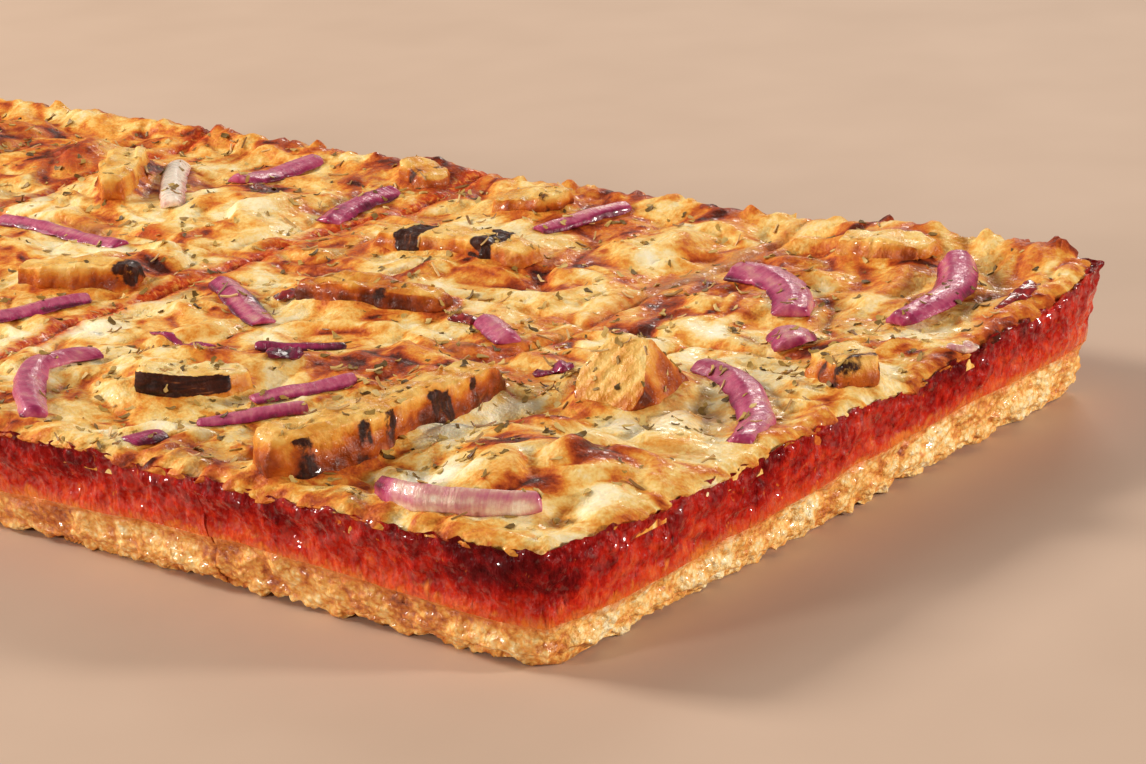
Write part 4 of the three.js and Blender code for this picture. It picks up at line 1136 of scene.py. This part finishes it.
# For each piece of chicken: how golden it is, and its grill marks as (share of its length, width, depth)
CHICKEN_LOOKS = {
    "chicken_01": (0.34, [(0.10, 2.6, 0.9), (0.30, 3.0, 0.65), (0.42, 3.2, 0.8), (0.65, 3.6, 1.6),
                          (0.83, 1.4, 0.8)]),
    "chicken_02": (0.12, []),
    "chicken_03": (0.50, [(0.62, 3.4, 0.6)]),
    "chicken_04": (0.28, [(0.25, 3.4, 2.6), (0.72, 3.0, 2.6)]),
    "chicken_05": (0.24, [(0.14, 1.4, 1.0), (0.34, 0.7, 0.6)]),
    "chicken_06": (0.30, [(0.55, 1.4, 0.7), (0.85, 2.4, 0.9)]),
    "chicken_08": (0.34, [(0.92, 3.4, 1.0)]),
    "chicken_10": (0.34, [(0.6, 3.0, 0.7)]),
    "chicken_11": (0.34, [(0.7, 3.0, 0.6)]),
    "chicken_13": (0.38, [(0.3, 2.4, 1.0), (0.7, 2.4, 1.0)]),
    "chicken_14": (0.38, [(0.4, 2.6, 0.9)]),
}
PLAIN_CHICKEN = (0.26, [])

# The long strip, the chunk with cut faces, and the one whose front is charred along its length
LONG_STRIP = "chicken_01"
CHUNK = "chicken_05"
CHARRED_FACE = "chicken_02"

# Cuts that give the chunk of chicken its flat faces: the way they face, as X, Y and Z, and their depth
CHUNK_CUTS = [
    (0.05, -0.72, 0.66, 6.2), (0.86, 0.05, 0.36, 4.6), (-0.80, 0.05, 0.55, 4.2), (0.1, 0.8, 0.6, 3.0),
]

# How far a strip's round section is squared, from 0 to 1
SQUARED = 0.42
SECTION_STEP = 3.0

# How deep the relief is on the chunk's flat faces, against 1 for the other pieces
CHUNK_RELIEF = 0.25

# How much painted shade darkens the lower steep sides of a piece, and those of the long strip
SIDE_SHADE = 0.36
STRIP_SIDE_SHADE = 0.42

# How many times a packed topping's points are evened out
CHICKEN_ROUNDS = 3
ONION_ROUNDS = 5


def squared(local):
    """Gives a rounded strip flat sides and a flat top, within its own width and height."""
    from_end = local[:, 0] - local[:, 0].min()
    bins = (from_end / SECTION_STEP).astype(int)
    stops = np.arange(bins.max() + 1)
    extents = []
    for values in (local[:, 1], -local[:, 1], local[:, 2]):
        widest = np.array([values[bins == one].max(initial=0.5) for one in stops])
        extents.append(np.interp(from_end, (stops + 0.5) * SECTION_STEP, widest))
    middle = (extents[0] - extents[1]) / 2
    half = np.maximum((extents[0] + extents[1]) / 2, 0.5)
    across, up = (local[:, 1] - middle) / half, 2 * local[:, 2] / np.maximum(extents[2], 0.5) - 1
    radius = np.hypot(across, up)
    scale = 1 + SQUARED * (radius / np.maximum(np.maximum(np.abs(across), np.abs(up)), 0.05) - 1)
    shaped = local.copy()
    shaped[:, 1] = middle + across * scale * half
    shaped[:, 2] = (up * scale + 1) / 2 * extents[2]
    return shaped


def carved(points, planes):
    """Flattens a rounded chunk with a few planes, as cut meat is."""
    for *direction, depth in planes:
        direction = np.array(direction) / np.linalg.norm(direction)
        reach = points @ direction
        points = points - np.outer(0.96 * np.clip(reach - reach.max() + depth, 0, None), direction)
    return points


# The relief of the chicken in millimetres
CHICKEN_LUMPS = 0.7
CHICKEN_FIBRES = 0.16
CHICKEN_FOLDS = 0.4


def chicken_piece(name):
    points, triangles = topping_arrays(name, CHICKEN_ROUNDS)
    seed = 100 + int(name[-2:])
    chunk = name == CHUNK
    if chunk:
        points = carved(points, CHUNK_CUTS)
    local, back = local_places(points)
    if not chunk:
        local = squared(local)
        points = back(local)
    golden, marks = CHICKEN_LOOKS.get(name, PLAIN_CHICKEN)
    away = normals(points, triangles)
    groove = waves(local * (1, 0.16, 0.16), 2.2, seed)
    fold = waves(local * (1, 0.3, 0.3), 6.0, seed + 1)
    bulge = CHICKEN_LUMPS * fractal(local, 7.0, seed + 2, 3) + CHICKEN_FIBRES * groove + CHICKEN_FOLDS * fold
    shaped = points + away * (bulge * (CHUNK_RELIEF if chunk else 1.0) - 0.1)[:, None]
    from_end = local[:, 0] - local[:, 0].min()
    length = from_end.max()
    wander = 0.8 * waves(local, 5, seed + 4)
    patchy = 0.75 + 0.6 * fractal(local, 4.0, seed + 6, 2)
    bands = [depth * np.exp(-((from_end - at * length + wander) / width) ** 4) for at, width, depth in marks]
    charred = sum(bands, np.zeros(len(points))) * patchy
    if name == CHARRED_FACE:
        charred = 1.2 * ramp(away[:, 1], -0.15, -0.5) * ramp(away[:, 2], 0.7, 0.4)
    charred *= ramp(local[:, 2], 0.5, 2.0)
    if name == LONG_STRIP:
        charred *= 0.3 + 0.8 * ramp(away[:, 2], 0.8, 0.4)
    # Painted shade: the lower, steep sides of each piece are drawn browner than its top, which stays lighter
    high = local[:, 2] / local[:, 2].max()
    steep = ramp(away[:, 2], 0.85, 0.45)
    side = STRIP_SIDE_SHADE if name == LONG_STRIP else SIDE_SHADE
    golden = golden + 0.06 * groove + 0.16 * waves(local, 7, seed + 5) + side * ramp(high, 1.0, 0.35) * steep
    golden += 0.2 * charred
    if chunk:
        ridges = waves(local * (1, 0.1, 0.1), 1.7, seed + 7)
        shaped += away * (0.3 * ridges)[:, None]
        # Painted shade: the chunk's faces that turn towards +X are drawn browner
        golden += 0.15 * ramp(away[:, 0], 0.25, 0.75) + 0.12 * ridges
    if name == CHARRED_FACE:
        local = local[:, ::-1]
    looks = {"local": local, "golden": golden, "charred": charred}
    return piece(f"grilled_{name}", shaped, triangles, chicken_material(), [name], looks)


# How plum-coloured each onion is, from whitish to dark
ONION_LOOKS = {"onion_01": 0.20, "onion_02": 0.45, "onion_03": 0.34, "onion_05": 0.44, "onion_08": 0.50,
               "onion_16": 0.62, "onion_17": -0.10, "onion_18": 0.74, "onion_19": 0.98}
PLAIN_ONION = 0.40

# The one with a dark tip, and the one that is covered with glaze
TIPPED_ONION = "onion_01"
GLAZED_ONION = "onion_19"

# How much wider than packed the broadest petals are drawn
WIDER_ONIONS = {"onion_02": 1.12, "onion_03": 1.45, "onion_04": 1.3, "onion_05": 1.3, "onion_08": 1.5,
                "onion_09": 1.4, "onion_10": 1.3, "onion_11": 1.2, "onion_12": 1.35, "onion_13": 1.2,
                "onion_14": 1.45, "onion_15": 1.35, "onion_16": 1.8}


# The relief of the onion in millimetres
ONION_RIBS = 0.07
ONION_LAYERS = 0.14
ONION_SWELL = 0.22


def onion_piece(name):
    points, triangles = topping_arrays(name, ONION_ROUNDS)
    local, back = local_places(points)
    seed = 200 + int(name[-2:])
    local[:, 1] *= WIDER_ONIONS.get(name, 1.0)
    local[:, 2] *= 1.06 - 0.36 * (local[:, 1] / np.abs(local[:, 1]).max()) ** 2
    points = back(local)
    away = normals(points, triangles)
    rib = waves(local * (1, 0.12, 0.12), 1.3, seed)
    layer = waves(local * (0.1, 1, 1), 2.2, seed + 1)
    bulge = ONION_RIBS * rib + ONION_LAYERS * layer + ONION_SWELL * waves(local, 6, seed + 2)
    shaped = points + away * bulge[:, None]
    ahead, across, _ = np.abs(local / np.abs(local).max(axis=0)).T
    edge = ramp(across, 0.55, 0.95)
    ends = ramp(ahead, 0.86, 1.0)
    plum = ONION_LOOKS.get(name, PLAIN_ONION) + 0.36 * edge + 0.16 * ends + 0.16 * layer
    if name == TIPPED_ONION:
        plum += 0.5 * ramp(local[:, 0] - local[:, 0].min(), 9, 3)
    material = glaze_material() if name == GLAZED_ONION else onion_material()
    return piece(f"red_{name}", shaped, triangles, material, [name], {"local": local, "plum": plum})


cheese_pieces = [cheese_piece(index, part) for index, part in enumerate(SLICES)]
for part in SLICES:
    sauce_piece(part)
for part in SLICES:
    crust_piece(part)
chicken_pieces = [chicken_piece(name) for name in CHICKEN_NODES]
onion_pieces = [onion_piece(name) for name in ONION_NODES]


# Small pieces on the cheese: the line along the middle, width, thickness and how plum-coloured it is
SMALL_STRIPS = {
    "thin_onion": ([(21, -39), (35, -42), (46, -42)], 2.2, 1.0, 0.66),
    "corner_onion": ([(119, -16), (123, -13), (127, -11)], 6.0, 1.0, 0.70),
    "rim_onion": ([(194, 38), (196, 42), (196, 46)], 4.5, 1.4, 0.12),
    "wedge_onion": ([(68, -48), (71, -45), (74, -42)], 8.0, 1.3, 0.80),
    "edge_onion": ([(-72, -92), (-64, -88), (-56, -90)], 3.0, 1.2, 0.6),
    "left_onion": ([(-140, 10), (-133, 16), (-124, 17)], 3.4, 1.3, 0.5),
}
GLAZE_STRIPS = {
    "glaze_by_strip": ([(29, -5), (35, -2), (41, -1)], 7.5, 1.4),
    "glaze_by_seam": ([(79, 3), (83, 3), (88, 2)], 5.0, 1.2),
    "glaze_at_rim": ([(188, 84), (190, 78), (191, 70)], 5.0, 1.0),
}

# A small strip's points round its section, their distance along it, and how many even out its height
STRIP_ROUND = 14
STRIP_STEP = 0.6
STRIP_LEVELLED = 7


def laid_strip(line, width, thick, seed):
    """A closed uneven strip laid on the cheese along a line: its points, triangles and local places."""
    knots = np.array(line, float)
    share = np.linspace(0, 1, len(knots))
    length = np.linalg.norm(np.diff(knots, axis=0), axis=1).sum()
    count = max(8, int(length / STRIP_STEP))
    t = np.linspace(0, 1, count)
    middle = np.column_stack([np.polyval(np.polyfit(share, knots[:, axis], 2), t) for axis in (0, 1)])
    ahead = unit(np.gradient(middle, axis=0))
    across = np.column_stack([-ahead[:, 1], ahead[:, 0]])
    level = np.array([cast_down(cheese_tree, x, y)[0].z for x, y in middle])
    level = np.pad(level, STRIP_LEVELLED // 2, mode="edge")
    level = np.convolve(level, np.ones(STRIP_LEVELLED) / STRIP_LEVELLED, mode="valid")
    size = np.clip(1 - np.abs(2 * t - 1) ** 5, 0.02, 1) ** 0.5
    turn = np.linspace(0, 2 * math.pi, STRIP_ROUND, endpoint=False)
    sideways = np.outer(size, np.cos(turn)) * width / 2
    upwards = np.outer(size, np.sin(turn)) * thick / 2
    points = np.concatenate([middle[:, None] + across[:, None] * sideways[..., None],
                             (level[:, None] + upwards + 0.2 * thick)[..., None]], axis=2).reshape(-1, 3)
    local = np.stack([np.broadcast_to((t * length)[:, None], sideways.shape), sideways, upwards], axis=2)
    rings = np.arange(len(points)).reshape(count, STRIP_ROUND)
    ends = points[rings[[0, -1]]].mean(axis=1)
    triangles = np.vstack([ring_walls(rings), ring_end(rings[0, ::-1], len(points)),
                           ring_end(rings[-1], len(points) + 1)])
    points = np.vstack([points, ends])
    local = np.vstack([local.reshape(-1, 3), [(0, 0, 0), (length, 0, 0)]])
    uneven = 0.16 * width * fractal(points, 2.4 * thick, seed, 2)
    return points + uneven[:, None] * normals(points, triangles), triangles, local


def place_small_strips():
    made = []
    for seed, (name, (line, width, thick, plum)) in enumerate(SMALL_STRIPS.items(), 300):
        points, triangles, local = laid_strip(line, width, thick, seed)
        looks = {"local": local, "plum": plum + 0.12 * waves(local, 3, seed)}
        made.append(piece(name, points, triangles, onion_material(), looks=looks))
    for seed, (name, (line, width, thick)) in enumerate(GLAZE_STRIPS.items(), 400):
        points, triangles, _ = laid_strip(line, width, thick, seed)
        made.append(piece(name, points, triangles, glaze_material()))
    return made


# Dried herbs: how many, of how many shapes, how long, how thick for their length, and how far off the cheese
FLAKE_COUNT = 1800
FLAKE_SHAPES = 9
FLAKE_LENGTHS = (0.9, 3.1)
FLAKE_LIFT = 0.12
STEM_COUNT = 260
STEM_LENGTHS = (2.2, 5.0)
STEM_LIFT = 0.2
HERB_THICKNESS = 0.09

# How wide a flake is on each side for its length, and how each herb is widened, tilted, curled and twisted
FLAKE_WIDTHS = (0.03, 0.34)
HERB_WIDENING = (0.9, 1.5)
HERB_TILT = 0.22
HERB_CURL = (-0.4, 1.4)
HERB_TWIST = (-1.2, 1.2)

# No herb lies on ground steeper than this, as the upward share of its normal, or this near the rim
STEEPEST_HERB = 0.35
HERB_MARGIN = 7.0

# Places with more herbs: x, y, reach, and how many of each CLUSTER_BASE herbs
CLUSTER_BASE = 1100
HERB_CLUSTERS = [
    (130, -27, 8, 26), (142, -70, 9, 26), (103, -42, 9, 24), (150, -22, 9, 18), (60, -60, 14, 22),
    (66, -95, 12, 22), (170, 30, 10, 22), (120, 12, 12, 18), (25, 60, 16, 18), (176, 14, 9, 18),
]
HERB_SEED = 907


def herb_places(count, draw):
    """Places over the pizza: even, with some clusters."""
    inner = BOX_HALF[:2] - HERB_MARGIN
    places = draw.uniform(-inner, inner, (count, 2)) + BOX_MIDDLE[:2]
    at = 0
    for x, y, reach, many in HERB_CLUSTERS:
        share = int(many * count / CLUSTER_BASE)
        places[at:at + share] = draw.normal((x, y), reach, (share, 2))
        at += share
    return places


def scattered(name, count, shapes, lengths, material, draw, lift):
    """Copies of a few small closed shapes laid on the top of the pizza, joined into one mesh."""
    all_points, all_triangles, tones = [], [], []
    for x, y in herb_places(count, draw):
        size = draw.uniform(*lengths)
        turn = draw.uniform(0, 2 * math.pi)
        tilt = draw.normal(0, HERB_TILT, 2)
        tone = draw.uniform(0, 1)
        wide, curl, twist = (draw.uniform(*extent) for extent in (HERB_WIDENING, HERB_CURL, HERB_TWIST))
        points, triangles = shapes[draw.integers(len(shapes))]
        place, normal = cast_down(top_tree, x, y)
        if place is None or normal.z < STEEPEST_HERB:
            continue
        bent = points * (1, wide, 1)
        bent[:, 2] += curl * 0.5 * bent[:, 0] ** 2 + twist * bent[:, 0] * bent[:, 1]
        up = np.array(normal) + np.array([*tilt, 0])
        up /= np.linalg.norm(up)
        ahead = np.cross(up, [math.sin(turn), -math.cos(turn), 0])
        ahead /= np.linalg.norm(ahead)
        axes = np.array([ahead, np.cross(up, ahead), up])
        all_triangles.append(triangles + len(points) * len(all_points))
        all_points.append(np.array(place) + (bent * size) @ axes + up * lift)
        tones.append(np.full(len(points), tone))
    looks = {"tone": np.concatenate(tones)}
    return piece(name, np.vstack(all_points), np.vstack(all_triangles), material, looks=looks)


def strip_shape(stations, thickness):
    """A thin closed strip along X from (place, width left, width right) stations, one unit long."""
    points = []
    for along, left, right in stations:
        points += [(along, left, thickness / 2), (along, -right, thickness / 2),
                   (along, -right, -thickness / 2), (along, left, -thickness / 2)]
    rings = np.arange(len(points)).reshape(-1, 4)
    a, b, c, d = rings[-1]
    ends = [(0, 1, 2), (0, 2, 3), (a, c, b), (a, d, c)]
    return np.array(points, float), np.vstack([ends, ring_walls(rings)])


def place_herbs():
    draw = np.random.default_rng(HERB_SEED)
    flakes = []
    for _ in range(FLAKE_SHAPES):
        wide = draw.uniform(*FLAKE_WIDTHS, (4, 2))
        places = np.array([-0.5, -0.2, 0.2, 0.5]) + draw.uniform(-0.1, 0.1, 4)
        flakes.append(strip_shape(np.column_stack([places, wide * [[0.5], [1], [1], [0.4]]]), HERB_THICKNESS))
    stem = strip_shape([(-0.5, 0.05, 0.05), (0.0, 0.06, 0.04), (0.5, 0.04, 0.03)], HERB_THICKNESS)
    scattered("herb_flakes", FLAKE_COUNT, flakes, FLAKE_LENGTHS, herb_material(), draw, FLAKE_LIFT)
    scattered("herb_stems", STEM_COUNT, [stem], STEM_LENGTHS, stem_material(), draw, STEM_LIFT)


cheese_tree = tree_of(mesh_arrays(made.data) for made in cheese_pieces)
small_pieces = place_small_strips()
top_pieces = cheese_pieces + chicken_pieces + onion_pieces + small_pieces
top_tree = tree_of(mesh_arrays(made.data) for made in top_pieces)
place_herbs()


# Floor, lights and camera, in metres and watts: each light's place, size and power
FLOOR_SIZE = 6.0
LIGHTS = {
    "key_light": ((-1.52, -0.56, 1.06), 0.48, 35),
    "back_light": ((-0.72, 1.68, 0.96), 0.64, 8),
    "right_light": ((1.84, 0.80, 0.52), 0.24, 32),
    "front_light": ((-0.60, -1.90, 0.54), 0.28, 19.5),
}
LIGHT_SHADE = (1.0, 0.94, 0.86)
LIGHT_TARGET = Vector((0.06, -0.04, 0))
SKY_SHADE = (255, 246, 236)
SKY_STRENGTH = 0.26


def area_light(name, place, size, energy):
    light = bpy.data.lights.new(name, "AREA")
    light.size = size
    light.energy = energy
    light.color = LIGHT_SHADE
    made = placed(name, light)
    made.location = place
    made.rotation_euler = (LIGHT_TARGET - Vector(place)).to_track_quat("-Z", "Y").to_euler()


def make_stage():
    mesh = bpy.data.meshes.new("floor")
    half = FLOOR_SIZE / 2
    corners = [(-half, -half, 0), (half, -half, 0), (half, half, 0), (-half, half, 0)]
    mesh.from_pydata(corners, [], [(0, 1, 2, 3)])
    mesh.materials.append(floor_material())
    floor = placed("floor", mesh)
    for name, (place, size, energy) in LIGHTS.items():
        area_light(name, place, size, energy)
    world = bpy.data.worlds.new("studio")
    world.use_nodes = True
    background = world.node_tree.nodes["Background"]
    background.inputs["Color"].default_value = colour(*SKY_SHADE)
    background.inputs["Strength"].default_value = SKY_STRENGTH
    bpy.context.scene.world = world
    bpy.context.scene.view_settings.view_transform = "Standard"


def make_camera():
    camera = placed("camera", bpy.data.cameras.new("camera"))
    camera.data.lens = CAMERA_LENS
    camera.data.sensor_width = SENSOR_WIDTH
    camera.data.clip_start = 0.01
    axes = Matrix.Translation(Vector(CAMERA_PLACE) * MM)
    for angle, axis in ((CAMERA_HEADING, "Z"), (math.pi / 2 - CAMERA_PITCH, "X"), (CAMERA_ROLL, "Z")):
        axes @= Matrix.Rotation(angle, 4, axis)
    camera.matrix_world = axes
    bpy.context.scene.camera = camera


make_stage()
make_camera()
